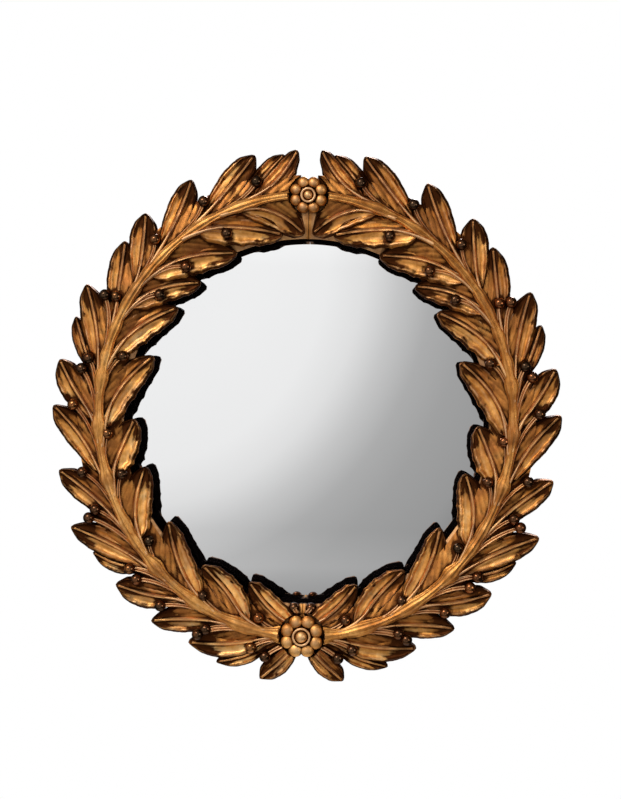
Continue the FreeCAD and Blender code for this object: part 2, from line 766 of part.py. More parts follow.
pieces = make_all()
doc.recompute()
check(pieces)
os.makedirs("parts", exist_ok=True)
for piece in pieces:
    piece.Shape.exportStep("parts/%s.step" % piece.Label)
    box = piece.Shape.BoundBox
    print("%-20s %2d solids  volume %9.0f  x %7.1f %7.1f  y %6.1f %6.1f  z %7.1f %7.1f" % (
        piece.Label, len(piece.Shape.Solids), piece.Shape.Volume,
        box.XMin, box.XMax, box.YMin, box.YMax, box.ZMin, box.ZMax))
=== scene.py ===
"""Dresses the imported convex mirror: gilt laurel wreath, black ring, domed glass, hardware behind.

Lengths are millimetres until a mesh is made. A bench point is x to the viewer's right, y up
and z from the wall towards the viewer, as the pieces were drawn; the row frame is in metres.
"""
import math

import bmesh
import bpy
import numpy as np
from mathutils import Matrix, Vector


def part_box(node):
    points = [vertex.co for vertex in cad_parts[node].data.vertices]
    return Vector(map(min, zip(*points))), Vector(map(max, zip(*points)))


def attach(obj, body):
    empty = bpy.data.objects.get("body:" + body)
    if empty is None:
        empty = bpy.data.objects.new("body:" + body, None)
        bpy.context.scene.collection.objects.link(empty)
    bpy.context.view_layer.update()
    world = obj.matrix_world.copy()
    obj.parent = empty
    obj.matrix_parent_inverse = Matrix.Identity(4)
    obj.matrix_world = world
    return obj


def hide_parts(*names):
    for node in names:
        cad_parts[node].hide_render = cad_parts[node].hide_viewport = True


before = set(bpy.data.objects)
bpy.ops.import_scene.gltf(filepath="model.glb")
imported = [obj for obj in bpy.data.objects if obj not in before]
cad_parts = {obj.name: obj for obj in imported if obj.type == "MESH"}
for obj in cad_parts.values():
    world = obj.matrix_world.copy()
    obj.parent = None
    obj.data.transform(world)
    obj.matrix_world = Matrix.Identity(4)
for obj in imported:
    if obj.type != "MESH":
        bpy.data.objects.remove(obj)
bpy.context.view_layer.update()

MM = 0.001


# ---- places read from the frame

def back_of(node):
    """How far the back of a CAD node's box stands off the wall, in millimetres."""
    return -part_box(node)[1].y / MM


def front_of(node):
    return -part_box(node)[0].y / MM


def top_of(node):
    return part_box(node)[1].z / MM


def middle_up(node):
    """How high the middle of a CAD node's box is, in millimetres."""
    low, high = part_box(node)
    return (low.z + high.z) / 2 / MM


CARRIER_BACK, CARRIER_FRONT = back_of("carrier_ring"), front_of("carrier_ring")
CARRIER_RADIUS = top_of("carrier_ring")
BOARD_FRONT = front_of("backboard")
BOARD_RADIUS = top_of("backboard")
GLASS_RADIUS = top_of("convex_glass")
GLASS_APEX = front_of("convex_glass")
ROSETTE_FRONT = front_of("top_rosette") - CARRIER_FRONT


# ---- sizes of the wreath

SIGHT_RADIUS = 187.0
REBATE_RADIUS = 197.5
LIP_THICKNESS = 6.0
GLASS_BULGE = 24.0
GLASS_THICKNESS = 3.0
OVAL_HALF_WIDTH = 212.0
OVAL_HALF_HEIGHT = 225.5
OVAL_RISE = 6.3
PLATE_THICKNESS = 8.0
PLATE_RADIUS = 228.0
SEAM_GAP = 0.6
STEM_HEIGHT = 21.0
LEAF_ROOT = 17.5
LEAF_END = 10.5
BERRY_RADIUS = 5.9
BERRY_TOP = 21.5

# Leaves and berries of the left branch. A place on it is a station, in degrees round the
# oval from its foot, and an offset in millimetres from the stem, outwards.
# Each leaf: root station and offset, tip station and offset, width, bend of its middle to
# the left of the way it grows, and how much lower it lies than the leaves beside it.
OUTER_LEAVES = [
    (0.8, 6.0, 9.4, 49.5, 23.0, 2.0, 0.0),
    (6.9, 3.0, 19.9, 46.7, 19.5, 5.0, 2.5),
    (6.0, 0.0, 27.6, 40.6, 30.0, 5.0, 0.0),
    (19.3, 2.0, 37.4, 44.6, 28.0, -3.2, 0.0),
    (33.6, 3.0, 48.8, 44.5, 30.0, 3.5, 0.0),
    (46.0, 4.0, 57.5, 45.7, 19.5, 5.0, 2.5),
    (46.2, 4.0, 64.7, 53.5, 29.5, -2.8, 0.0),
    (60.3, 4.0, 77.1, 47.5, 28.5, -2.2, 0.0),
    (73.2, 4.0, 91.2, 47.5, 30.5, -5.0, 0.0),
    (87.6, 2.0, 101.2, 46.5, 30.5, 2.2, 0.0),
    (99.0, 6.0, 111.2, 43.0, 20.5, 1.5, 2.5),
    (100.4, 3.0, 118.7, 46.1, 29.5, -3.3, 0.0),
    (113.4, 3.0, 131.6, 38.5, 28.0, 0.0, 0.0),
    (124.6, 0.0, 139.3, 43.5, 30.5, -1.5, 0.0),
    (135.7, 5.0, 152.1, 44.5, 28.0, -2.2, 0.0),
    (150.5, 5.0, 167.4, 45.5, 28.5, -0.5, 0.0),
    (162.0, 4.0, 174.1, 41.5, 21.5, 0.4, 2.5),
    (165.3, 3.0, 177.2, 45.0, 21.5, -4.5, 0.0),
]
INNER_LEAVES = [
    (2.5, -9.0, 19.0, -43.0, 24.5, 4.0, 0.0),
    (15.9, -3.0, 35.5, -33.5, 27.5, -3.6, 0.0),
    (30.9, -3.0, 53.4, -38.0, 27.5, 5.0, 0.0),
    (54.9, -3.0, 72.6, -39.9, 30.0, 5.5, 0.0),
    (72.9, -4.0, 87.9, -35.7, 31.0, 1.0, 0.0),
    (86.5, -3.0, 108.9, -45.5, 30.5, 7.5, 0.0),
    (105.6, -4.0, 127.0, -45.5, 30.0, 6.5, 0.0),
    (120.3, -3.0, 138.6, -46.5, 28.0, 6.0, 0.0),
    (130.4, -3.0, 154.5, -42.5, 33.5, 7.0, 0.0),
    (148.1, -2.0, 171.5, -38.5, 33.5, 4.0, -2.2),
    (160.4, 0.0, 178.6, -39.5, 33.0, 8.5, -0.6),
]
BERRIES = [
    (9.1, 25.4), (13.0, 19.5), (25.4, 19.1), (26.6, 28.0), (38.0, 25.7), (46.6, 23.8),
    (49.6, 22.3), (65.0, 32.0), (66.2, 22.5), (75.6, 23.6), (91.7, 26.7), (100.4, 22.0),
    (103.2, 17.1), (118.8, 24.2), (119.9, 13.3), (137.1, 17.1), (152.5, 19.4),
    (166.7, 19.3), (2.7, -27.9), (12.9, -11.9), (30.3, -9.4), (52.2, -11.5),
    (72.5, -15.4), (84.3, -8.0), (106.1, -16.8), (127.0, -23.3), (138.5, -24.6),
    (154.4, -20.0),
]
STALK_TURN = 0.36  # degrees that a stalk runs on for each millimetre it leaves the stem


# ---- making meshes

class Shape:
    """Points and faces of one piece, with the marks that its finish reads at each point."""

    MARKS = ("rub", "dark", "tone", "black", "cavity")

    def __init__(self):
        self.points = []
        self.faces = []
        self.marks = {name: [] for name in self.MARKS}
        self.count = 0

    def add(self, points, faces, **marks):
        points = np.asarray(points, float)
        self.points.append(points)
        self.faces += [tuple(int(i) + self.count for i in face) for face in faces]
        for name in self.MARKS:
            self.marks[name].append(np.broadcast_to(marks.get(name, 0.0), len(points)))
        self.count += len(points)

    def grid(self, rings, **marks):
        """A tube through rings of points, each ring closed on itself and as long as the next."""
        rings = np.asarray(rings, float)
        index = np.arange(rings.shape[0] * rings.shape[1]).reshape(rings.shape[:2])
        index = np.concatenate((index, index[:, :1]), axis=1)
        corners = (index[:-1, :-1], index[:-1, 1:], index[1:, 1:], index[1:, :-1])
        flat = {name: np.broadcast_to(mark, rings.shape[:2]).ravel()
                for name, mark in marks.items()}
        self.add(rings.reshape(-1, 3), np.stack(corners, axis=-1).reshape(-1, 4), **flat)

    def cap(self, rings, **marks):
        """A flat face on the first ring and one on the last."""
        for end in (rings[0], rings[-1]):
            self.add(end, [tuple(range(len(end)))], **marks)

    def bar(self, lines, end_tone=-0.4, **marks):
        """A closed bar, given by the lines that run along it, in order round it."""
        rings = np.transpose(np.asarray(lines, float), (1, 0, 2))
        self.grid(rings, **{name: np.transpose(mark) for name, mark in marks.items()})
        self.cap(rings, tone=end_tone)

    def joined(self):
        return np.concatenate(self.points)


def stand(points, off_wall):
    """Bench millimetres to the row frame in metres."""
    x, y, z = points.T
    return np.column_stack((x, -(z + off_wall), y)) * MM


def make_object(name, shape, finish, nodes, body="frame", off_wall=0.0, smooth_under=38.0):
    """Turns a shape into an object that rides on a body and stands for CAD nodes."""
    material, slot = finish
    mesh = bpy.data.meshes.new(name)
    mesh.from_pydata(stand(shape.joined(), off_wall).tolist(), [], shape.faces)
    for mark, values in shape.marks.items():
        layer = mesh.attributes.new(mark, "FLOAT", "POINT")
        layer.data.foreach_set("value", np.concatenate(values).astype(np.float32))
    work = bmesh.new()
    work.from_mesh(mesh)
    bmesh.ops.remove_doubles(work, verts=work.verts, dist=0.004 * MM)
    bmesh.ops.dissolve_degenerate(work, edges=work.edges, dist=0.002 * MM)
    bmesh.ops.recalc_face_normals(work, faces=work.faces)
    work.to_mesh(mesh)
    work.free()
    mesh.shade_smooth()
    mesh.set_sharp_from_angle(angle=math.radians(smooth_under))
    mesh.materials.append(material)
    made = bpy.data.objects.new(name, mesh)
    bpy.context.scene.collection.objects.link(made)
    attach(made, body)
    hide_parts(*nodes)


def ring_points(radius, turns, height):
    """Points at some radius round the bench's z axis, at angles in radians."""
    return np.column_stack((radius * np.cos(turns), radius * np.sin(turns),
                            np.broadcast_to(height, len(turns))))


def full_turn(steps):
    return np.linspace(0, 2 * np.pi, steps, endpoint=False)


def lathe(shape, profile, steps, centre=(0.0, 0.0, 0.0), **marks):
    """Turns a profile of (radius, height) round an axis along z, and returns its rings."""
    turns = full_turn(steps)
    rings = [ring_points(radius, turns, height) + centre for radius, height in profile]
    shape.grid(rings, **marks)
    return rings


def wave(values, seed):
    """A smooth, uneven ripple between about -1 and 1."""
    values = np.asarray(values, float)
    return (np.sin(values + seed * 1.7) * 0.5 + np.sin(values * 2.3 + seed * 4.1) * 0.3
            + np.sin(values * 4.9 + seed * 2.9) * 0.2)


def step_up(values, start, end):
    """A smooth step from 0 at the start to 1 at the end."""
    t = np.clip((np.asarray(values, float) - start) / (end - start), 0, 1)
    return t * t * (3 - 2 * t)


def hump(values, middle, reach):
    """A bell curve, 1 at its middle."""
    return np.exp(-((values - middle) / reach) ** 2)


def on_oval(station, offset):
    """A place on the left branch, as a flat bench point."""
    angle = np.radians(station)
    x = -(OVAL_HALF_WIDTH + offset) * np.sin(angle)
    y = OVAL_RISE - (OVAL_HALF_HEIGHT + offset) * np.cos(angle)
    return np.stack((x, y), axis=-1)


# ---- leaves

LEAF_STEPS = 56
CROWDED = 176.0  # leaves whose tips pass this station crowd against the seam
RIB_REACHES = (0.0, 0.75, 1.45, 2.5)  # rings beside the midrib, in millimetres
BLADE_SHARES = (0.12, 0.25, 0.38, 0.51, 0.63, 0.73, 0.80, 0.86, 0.91, 0.955, 1.0)
END_PULL = 0.045  # share of the length by which the midrib's ring misses each end
NARROW_HALF = 9.0  # half a width under which the rings beside the midrib draw together
LEAF_FOLD = 2.4  # how far the margins lie under the midrib
INNER_LIFT = 1.7  # an inner leaf's margin beside the glass stands clear of the plate
LEAF_HOLLOW = 2.9  # depth of the hollow in each half
LEAF_LIP = 2.0  # height of the lip inside the margin
EDGE_DROP = 1.8  # how far the face rounds off from the lip to the margin
RIB_HEIGHT = 1.5
GROOVE_DEPTH = 0.8
PLEAT_HEIGHT = 0.24
LEAF_FULLNESS = 0.5  # power on the outline: the lower, the blunter the leaf
LEAF_FORWARD = 1.35  # power on the length: the higher, the nearer the tip it is broadest
EDGE_STEPS = ((0.35, 0.7), (0.4, 1.6), (0.0, 3.2), (-0.7, 6.0))  # out and down, in order
EDGE_MARKS = {"dark": 1.2, "tone": -0.5}


def leaf_half(part, width, seed, fuller):
    """Half a leaf's width at a share of its length: blunt, broadest past its middle.

    Where it is fuller, as beside the glass, it is broad from its foot on and scalloped.
    """
    part = np.clip(part, 0, 1)
    plain = np.sin(np.pi * part ** LEAF_FORWARD) ** LEAF_FULLNESS
    scallops = 1 - 0.09 * np.abs(np.sin(np.pi * (part * 5.0 + 0.2 * seed))) ** 0.6
    broad = 1.2 * np.sin(np.pi * part ** 0.85) ** 0.42 * scallops
    full = plain + fuller * (broad - plain)
    nib = 1 - 0.25 * step_up(part, 0.86, 0.99)
    return width / 2 * full * nib * (1 + 0.03 * wave(part * 24, seed) * plain)


def add_leaf(shape, leaf, seed, inner):
    """One leaf: rings from its midrib out to its margin, down its edge and in under it."""
    root, tip = on_oval(*leaf[0:2]), on_oval(*leaf[2:4])
    width, bend, drop = leaf[4:]
    grow = tip - root
    length = np.linalg.norm(grow)
    left = np.array((-grow[1], grow[0])) / length
    even = np.linspace(0, 1, LEAF_STEPS)
    stations = 0.35 * even + 0.65 * ((1 - np.cos(np.pi * even)) / 2)
    sides = np.concatenate((np.ones(LEAF_STEPS), -np.ones(LEAF_STEPS - 2)))
    around = np.concatenate((stations, stations[-2:0:-1]))
    by_glass = (sides < 0) & inner
    fuller = np.where(by_glass, 1.0, 0.0)
    if leaf[2] > CROWDED:
        fuller = np.where(sides < 0, 0.4 if inner else 1.4, 1.2 if inner else 0.6)
    rings = []
    marks = {"rub": [], "dark": [], "tone": [], "black": []}

    def put(points, **values):
        rings.append(points)
        for name, kept in marks.items():
            kept.append(np.broadcast_to(values.get(name, 0.0), len(sides)))

    def outline(inwards):
        """Shares of the length and half widths round a ring that misses the leaf's ends."""
        pull = END_PULL * inwards
        part = pull + (1 - 2 * pull) * around
        return part, leaf_half(part, width, seed, fuller)

    def laid(part, reach, height):
        middle = root + np.outer(part, grow) + np.outer(bend * np.sin(np.pi * part), left)
        place = middle + np.outer(sides * reach, left)
        return np.column_stack((place, np.broadcast_to(height, len(part))))

    last = len(RIB_REACHES) + len(BLADE_SHARES) - 1
    for ring in range(last + 1):
        part, half = outline((1 - ring / last) ** 1.3)
        narrow = np.clip(half / NARROW_HALF, 0, 1)
        if ring < len(RIB_REACHES):
            reach = RIB_REACHES[ring] * narrow
        else:
            near = RIB_REACHES[-1] * narrow
            reach = near + (half - near) * BLADE_SHARES[ring - len(RIB_REACHES)]
        share = np.divide(reach, half, out=np.zeros_like(half), where=half > 0.01)
        pleat = leaf_pleats(part, share, seed)
        height = leaf_height(part, reach, share, length, sides, drop, seed, pleat)
        height += np.where(by_glass, INNER_LIFT * share ** 1.3, 0.0)
        away_from_stem = -sides if inner else sides
        put(laid(part, reach, height),
            **leaf_marks(part, reach, share, sides, seed, pleat, away_from_stem, leaf[0]))
    margin = rings[-1]
    outwards = np.column_stack((np.outer(sides, left), np.zeros(len(sides))))
    ahead = np.append(grow / length, 0.0)
    outwards[0] = -ahead
    outwards[LEAF_STEPS - 1] = ahead
    for out, down in EDGE_STEPS:
        put(margin + outwards * out - np.array((0, 0, down)), **EDGE_MARKS,
            black=float(inner and down > 1.0))
    low = margin - outwards * 0.9
    low[:, 2] = 0.0
    put(low, **EDGE_MARKS, black=float(inner))
    for share in (0.5, 0.0):
        part, half = outline(1 - share)
        put(laid(part, half * share, 0.0), **EDGE_MARKS, black=float(inner))
    shape.grid(rings, **{name: np.array(kept) for name, kept in marks.items()})


def leaf_marks(part, reach, share, sides, seed, pleat, away_from_stem, station):
    """Midrib, lip and pleats are rubbed; groove, foot, tip and edge are dirty.

    The half away from the stem is painted lighter and the half towards it is painted in shade, as
    light falls on a folded leaf; the leaves near the foot are lighter too.
    """
    rib = hump(reach, 1.0, 0.55) * (1 - 0.5 * part)
    lip = hump(share, 0.78, 0.05) * 0.4 * (1 + wave(part * 19, seed))
    ragged = wave(sides * reach * 0.5, seed)
    blots = wave(part * 17 + sides * 2, seed * 3.1)
    groove_dark = hump(reach, 2.5, 0.8)
    foot_dark = 1 - step_up(part + 0.07 * ragged, 0.02, 0.22)
    tip_dark = step_up(part + 0.12 * ragged, 0.66, 0.86)
    edge_dark = step_up(share + 0.14 * blots, 0.66, 0.86)
    dark = groove_dark * 0.5 + tip_dark + foot_dark * 0.3 + edge_dark * 1.2 - 0.2 * pleat
    # painted light and shade: the half towards the stem is darkened and the half away from it is
    # lightened
    painted_half_shading = 0.45 * away_from_stem * np.sin(np.pi * np.clip(share, 0, 1))
    tone = painted_half_shading + 0.25 * math.sin(seed * 12.9) + 0.1 + 0.35 * hump(station, 0.0, 28.0)
    return {"rub": np.clip(rib * 0.9 + lip + pleat * 0.25, 0, 1),
            "dark": np.clip(dark, 0, 1.4), "tone": tone}


def leaf_pleats(part, share, seed):
    """Long low folds beside the midrib, which run out before the tip."""
    window = step_up(share, 0.14, 0.3) * (1 - step_up(share, 0.62, 0.78))
    fade = (1 - step_up(part, 0.5, 0.88)) * step_up(part, 0.0, 0.1)
    return np.cos(2 * np.pi * (share * 3.1 + 0.35 * part) + seed) * window * fade


def leaf_height(part, reach, share, length, sides, drop, seed, pleat):
    """Height of a leaf's face: a twin-lined midrib, pleated hollow halves and a raised lip."""
    body = np.sin(np.pi * np.clip(part, 0.0, 1.0)) ** 0.45
    crest = LEAF_ROOT + (LEAF_END - LEAF_ROOT) * step_up(part, -0.15, 1.1) - drop
    fold = LEAF_FOLD * share ** 1.3 * body
    hollow = LEAF_HOLLOW * np.sin(np.pi * np.clip(share, 0, 1) ** 0.85) * body
    lip = LEAF_LIP * hump(share, 0.79, 0.1) * (0.25 + 0.75 * body)
    margin = EDGE_DROP * step_up(share, 0.84, 1.0)
    rib = RIB_HEIGHT * hump(reach, 0.85, 0.6) * (1 - 0.55 * part)
    groove = GROOVE_DEPTH * hump(reach, 2.6, 0.8) * body
    sway = 0.6 * wave(part * 7 + sides * share * 2, seed) * body
    pucker_phase = part * length * 0.34 - reach * 0.25 + seed * 2.1 + sides
    pucker = 0.5 * wave(pucker_phase, seed * 1.3) * step_up(share, 0.3, 0.8) * body
    return (crest - fold - hollow + lip - margin + rib - groove + PLEAT_HEIGHT * pleat + sway
            + pucker)


# ---- stem, stalks, berries

STEM_HALF_WIDTH = 5.4


def add_stem(shape):
    """A tapering bar with fine flutes, which swells where each leaf leaves it."""
    stations = np.linspace(2.0, 178.0, 420)
    swell = sum(0.3 * hump(stations, leaf[0] - 0.5, 2.2) for leaf in OUTER_LEAVES + INNER_LEAVES)
    half = STEM_HALF_WIDTH * (1.12 - 0.34 * stations / 180) * (0.92 + swell)
    profile = [(-1.05, 0.0), (-1.05, 0.55), (-1.0, 0.72)]
    for angle in np.radians(np.linspace(-80, 80, 19)):
        flute = 0.022 * math.cos(angle * 9)
        profile.append((math.sin(angle) * (1 + flute), 0.78 + 0.22 * math.cos(angle) + flute))
    profile += [(1.0, 0.72), (1.05, 0.55), (1.05, 0.0)]
    lines, rubs, darks = [], [], []
    for across, up in profile:
        streak = wave(stations * 0.55 + across * 2.0, 3) * wave(across * 9 + stations * 0.12, 1)
        lumps = 0.45 * wave(stations * 0.9 + across * 1.2, 2) * max(0.0, up - 0.6)
        top = STEM_HEIGHT * up + swell * 2.6 * max(0.0, up - 0.7) / 0.3 + lumps
        lines.append(np.column_stack((on_oval(stations, across * half), top)))
        rubs.append(np.clip((0.05 if up > 0.95 else 0.0) + 0.25 * streak, 0, 1))
        darks.append(np.clip((0.15 if up > 0.9 else 0.7) - 1.1 * streak, 0, 1))
    shape.bar(lines, rub=rubs, dark=darks, tone=0.5)


BED_REACH = 23.0
BED_TOP, BED_FALL = 15.0, 6.0  # its height beside the stem, and how far it falls outwards
BED_FAN = 9.0  # from one ridge of the bed to the next, along the stem
OPEN_NOTCH = 64.5  # station where the bed reaches out between two far-off leaves


def add_bed(shape):
    """The ground between stem and leaves: ridges that fan out from the stem on both sides."""
    stations = np.linspace(2.2, 177.8, 480)
    along = np.radians(stations) * OVAL_HALF_WIDTH
    outer_reach = 1 - 0.13 * step_up(stations, 166, 177) + 0.25 * hump(stations, OPEN_NOTCH, 3.0)
    bright_foot = 0.6 * (1 - step_up(stations, 6, 12))
    offsets = np.concatenate(((-BED_REACH,), np.linspace(-BED_REACH, BED_REACH, 57),
                              (BED_REACH,)))
    lines, darks = [], []
    for index, offset in enumerate(offsets):
        outer = offset > 0
        turned = along - abs(offset) * np.radians(STALK_TURN) * OVAL_HALF_WIDTH * 0.9
        phase = turned * 2 * np.pi / BED_FAN + (1.5 if outer else 0.0)
        ridge = 0.5 * np.abs(np.sin(phase / 2)) + 0.4 * wave(along / 9.0, outer)
        height = BED_TOP - BED_FALL * (abs(offset) / BED_REACH) ** 1.4 + ridge
        if index in (0, len(offsets) - 1):
            height = np.zeros_like(stations)
        reach = offset * outer_reach if outer else offset
        lines.append(np.column_stack((on_oval(stations, reach), height)))
        darks.append(0.5 - ridge * 0.5 - (bright_foot if offset < 0 else 0.0))
    shape.bar(lines, rub=0.05, dark=np.clip(darks, 0, 1), tone=-0.1)


def bend_through(a, b, c, t):
    """A quadratic curve from a to c that is aimed at b, at shares t of its way."""
    t = t[:, None]
    return (1 - t) ** 2 * a + 2 * t * (1 - t) * b + t ** 2 * c


# Sections of a strip: places across it as shares of its half width, and levels in depths.
TWIN_RIDGES = ((-1.0, -1.0), (-1.0, -0.25), (-0.88, -0.06), (-0.6, 0.0), (-0.3, -0.07),
               (0.0, -0.22), (0.3, -0.07), (0.6, 0.0), (0.88, -0.06), (1.0, -0.25), (1.0, -1.0))
ONE_RIDGE = ((-1.0, -1.0), (-1.0, -0.3), (-0.8, -0.1), (-0.4, 0.0), (0.0, 0.02), (0.4, 0.0),
             (0.8, -0.1), (1.0, -0.3), (1.0, -1.0))
STRIP_DEPTH = 6.0
STALK_TOP, STALK_FALL = 19.3, 3.6  # height at the stem, and how far it falls to the berry
FOOT_TOP, FOOT_FALL = 20.6, 3.8  # the same of a leaf's foot, out to its midrib
FOOT_SHARE = 0.3  # how far that foot runs on along the leaf


def add_strip(shape, path, half_widths, heights, section):
    """A raised strip along a flat path, rubbed on its ridges and dirty between them."""
    ahead = np.gradient(path, axis=0)
    ahead /= np.linalg.norm(ahead, axis=1)[:, None]
    across = np.column_stack((-ahead[:, 1], ahead[:, 0]))
    lines = [np.column_stack((path + across * (side * half_widths)[:, None],
                              heights + level * STRIP_DEPTH)) for side, level in section]
    shape.bar(lines, rub=[[0.6 if level > -0.08 else 0.0] for _, level in section],
              dark=[[0.8 if level < -0.12 else 0.0] for _, level in section], tone=0.15)


def add_stalk(shape, station, offset, seed):
    """A berry's stalk: it leaves the stem along it and bends out to the berry."""
    side = math.copysign(1.0, offset)
    lag = STALK_TURN * abs(offset)
    start = on_oval(station - lag - 3.5, side * 2.5)
    aim = on_oval(station - lag * 0.45, side * 3.5 + offset * 0.12)
    part = np.linspace(0, 1, 26)
    path = bend_through(start, aim, on_oval(station, offset), part)
    half = 2.0 + 0.25 * np.sin(part * 3.0 + seed)
    add_strip(shape, path, half, STALK_TOP - STALK_FALL * part, TWIN_RIDGES)


def add_petiole(shape, leaf):
    """The foot of a leaf: a ridge that peels off the stem and runs on as its midrib."""
    root, tip = on_oval(*leaf[0:2]), on_oval(*leaf[2:4])
    side = math.copysign(1.0, leaf[3])
    grow = tip - root
    left = np.array((-grow[1], grow[0])) / np.linalg.norm(grow)
    start = on_oval(leaf[0] - 5.5, side * 1.6)
    end = root + grow * FOOT_SHARE + left * leaf[5] * math.sin(math.pi * FOOT_SHARE)
    part = np.linspace(0, 1, 22)
    path = bend_through(start, root + grow * 0.05, end, part)
    add_strip(shape, path, 2.6 - 1.5 * part, FOOT_TOP - leaf[6] - FOOT_FALL * part, ONE_RIDGE)


def add_berry(shape, station, offset, seed):
    """A round berry with a dimple in its top; the ones nearest the glass lie lower."""
    middle = BERRY_TOP - BERRY_RADIUS - (6.0 if offset < -26 else 0.0)
    tone = 0.8 * math.sin(seed * 7.7)
    profile, rubs = [], []
    for polar in np.radians((1, 5, 10, 18, 28, 40, 52, 64, 76, 88, 100, 115, 130)):
        radius = BERRY_RADIUS - 0.5 * hump(polar, 0.0, 0.13)
        profile.append((radius * math.sin(polar), radius * math.cos(polar)))
        rubs.append([0.08 * hump(polar, 0.0, 0.8)])
    rings = lathe(shape, profile, 28, (*on_oval(station, offset), middle), rub=rubs, tone=tone)
    shape.cap(rings, tone=tone)


def add_plate(shape):
    """The left branch's half of the flat plate, black on the wall beside the glass."""
    cut = math.degrees(math.asin(SEAM_GAP / 2 / SIGHT_RADIUS))
    angles = np.radians(np.linspace(90 + cut, 270 - cut, 150))
    ease, front = 0.6, PLATE_THICKNESS
    section = ((SIGHT_RADIUS, 0, 1), (SIGHT_RADIUS, front - 2 * ease, 1),
               (SIGHT_RADIUS, front - ease, 0), (SIGHT_RADIUS + ease, front, 0),
               (PLATE_RADIUS - ease, front, 0), (PLATE_RADIUS, front - ease, 0),
               (PLATE_RADIUS, 0, 0))
    shape.bar([ring_points(radius, angles, height) for radius, height, _ in section],
              end_tone=0.0, rub=0.45, tone=0.1, black=[[black] for _, _, black in section])


# ---- rosettes

# Each rosette: its radius, the radius of the ring in its middle, and its tone.
ROSETTES = {"top_rosette": (19.8, 7.9, 0.1), "bottom_rosette": (22.9, 9.6, 0.4)}
ROSETTE_GAP = 0.4
PETALS = 8
PETAL_PLACE = 0.665  # middle of a round petal, as a share of the rosette's radius
PETAL_REACH = 0.315  # that petal's own radius, as a share of the rosette's
PETAL_ROWS = (0.0, 0.2, 0.34, 0.42, 0.46, 0.5, 0.55, 0.6, 0.66, 0.72, 0.78, 0.84, 0.89, 0.93,
              0.96, 0.98, 0.99, 1.0)
PETAL_RISE = 5.0  # from the gaps between the petals to their tops
PETAL_TOP = 1.0  # how far their tops stand over the rosette's body
HUB_WALL = 2.5  # width of the ring in the middle


def add_rosette(shape, radius, hub, tone, up):
    """Eight domed petals round a raised ring with a bead in it, on a closed body."""
    steps = 32 * PETALS
    turns = full_turn(steps)
    off = (turns * PETALS / (2 * np.pi) % 1.0 - 0.5) * 2 * np.pi / PETALS
    place, reach = radius * PETAL_PLACE, radius * PETAL_REACH
    edge = place * np.cos(off) + np.sqrt(reach ** 2 - (place * np.sin(off)) ** 2)
    body = ROSETTE_FRONT - PLATE_THICKNESS - PETAL_RISE
    centre = (0.0, up, PLATE_THICKNESS)
    rings, rubs, darks = [], [], []
    for share in PETAL_ROWS:
        out = edge * share
        away = np.sqrt(out ** 2 + place ** 2 - 2 * out * place * np.cos(off))
        swell = np.clip(1 - (away / reach) ** 2, 0, 1) ** 0.5
        rise = body + PETAL_TOP - PETAL_RISE + PETAL_RISE * swell
        rings.append(ring_points(out, turns, rise) + centre)
        rubs.append(0.5 * swell ** 6)
        darks.append(np.clip(1.25 - swell * 1.5, 0, 1.2))
    for share, rise in ((1.0, body - 7.5), (0.97, 0.0), (0.5, 0.0), (0.0, 0.0)):
        rings.append(ring_points(edge * share, turns, rise) + centre)
        rubs.append(np.zeros(steps))
        darks.append(np.full(steps, 0.9))
    shape.grid(rings, rub=rubs, dark=darks, tone=tone)
    angles = np.radians(np.linspace(0, 360, 14, endpoint=False)).tolist()
    angles.append(angles[0])
    half_wall = HUB_WALL / 2
    lathe(shape, [(hub - half_wall + half_wall * math.cos(angle),
                   body + 1.6 + 1.5 * math.sin(angle)) for angle in angles],
          steps, centre, rub=[[max(0.0, math.sin(angle))] for angle in angles], tone=tone)
    bead = (hub - HUB_WALL) * 0.86
    angles = np.radians((0.5, 8, 18, 30, 42, 55, 68, 80, 92, 110))
    rings = lathe(shape, [(bead * math.sin(angle), body + 0.6 + (bead - 0.7) * math.cos(angle))
                          for angle in angles],
                  steps, centre, rub=[[0.8 * math.cos(angle) ** 2] for angle in angles],
                  tone=tone + 0.1)
    shape.cap(rings)


def clear_rosettes(shape):
    """Sinks what runs under a rosette to the plate, and ends a branch at the seam."""
    for points in shape.points:
        for name, (radius, _, _) in ROSETTES.items():
            away = np.hypot(points[:, 0], points[:, 1] - middle_up(name))
            under = away < radius + ROSETTE_GAP
            points[under, 2] = np.minimum(points[under, 2], PLATE_THICKNESS - 0.2)
        points[:, 0] = np.minimum(points[:, 0], -SEAM_GAP / 2)


# ---- crevices, painted in shade as well as brown wash

CELL = 1.0  # size of a cell of the height map
MAP_HALF = 290  # half the side of that map
NEARBY, WIDER = (1.6, 0.6), (6.0, 0.12)  # reach of each comparison, and its weight


def cells_of(points, flip=1):
    return (((points[:, 0] * flip + MAP_HALF) / CELL).astype(int),
            ((points[:, 1] + MAP_HALF) / CELL).astype(int))


def height_map(shapes):
    """The highest point in each cell of the wreath, both branches, its small gaps filled."""
    side = int(2 * MAP_HALF / CELL)
    tall = np.zeros((side, side))
    for shape in shapes:
        points = shape.joined()
        for flip in (1, -1):
            np.maximum.at(tall, cells_of(points, flip), points[:, 2])
    grown = tall.copy()
    for across in (-1, 0, 1):
        for along in (-1, 0, 1):
            grown = np.maximum(grown, np.roll(tall, (across, along), axis=(0, 1)))
    return np.where(tall > 0, tall, grown)


def softened(tall, reach):
    steps = np.arange(-int(3 * reach), int(3 * reach) + 1)
    kernel = np.exp(-(steps / reach) ** 2 / 2)
    kernel /= kernel.sum()
    for axis in (0, 1):
        tall = np.apply_along_axis(np.convolve, axis, tall, kernel, mode="same")
    return tall


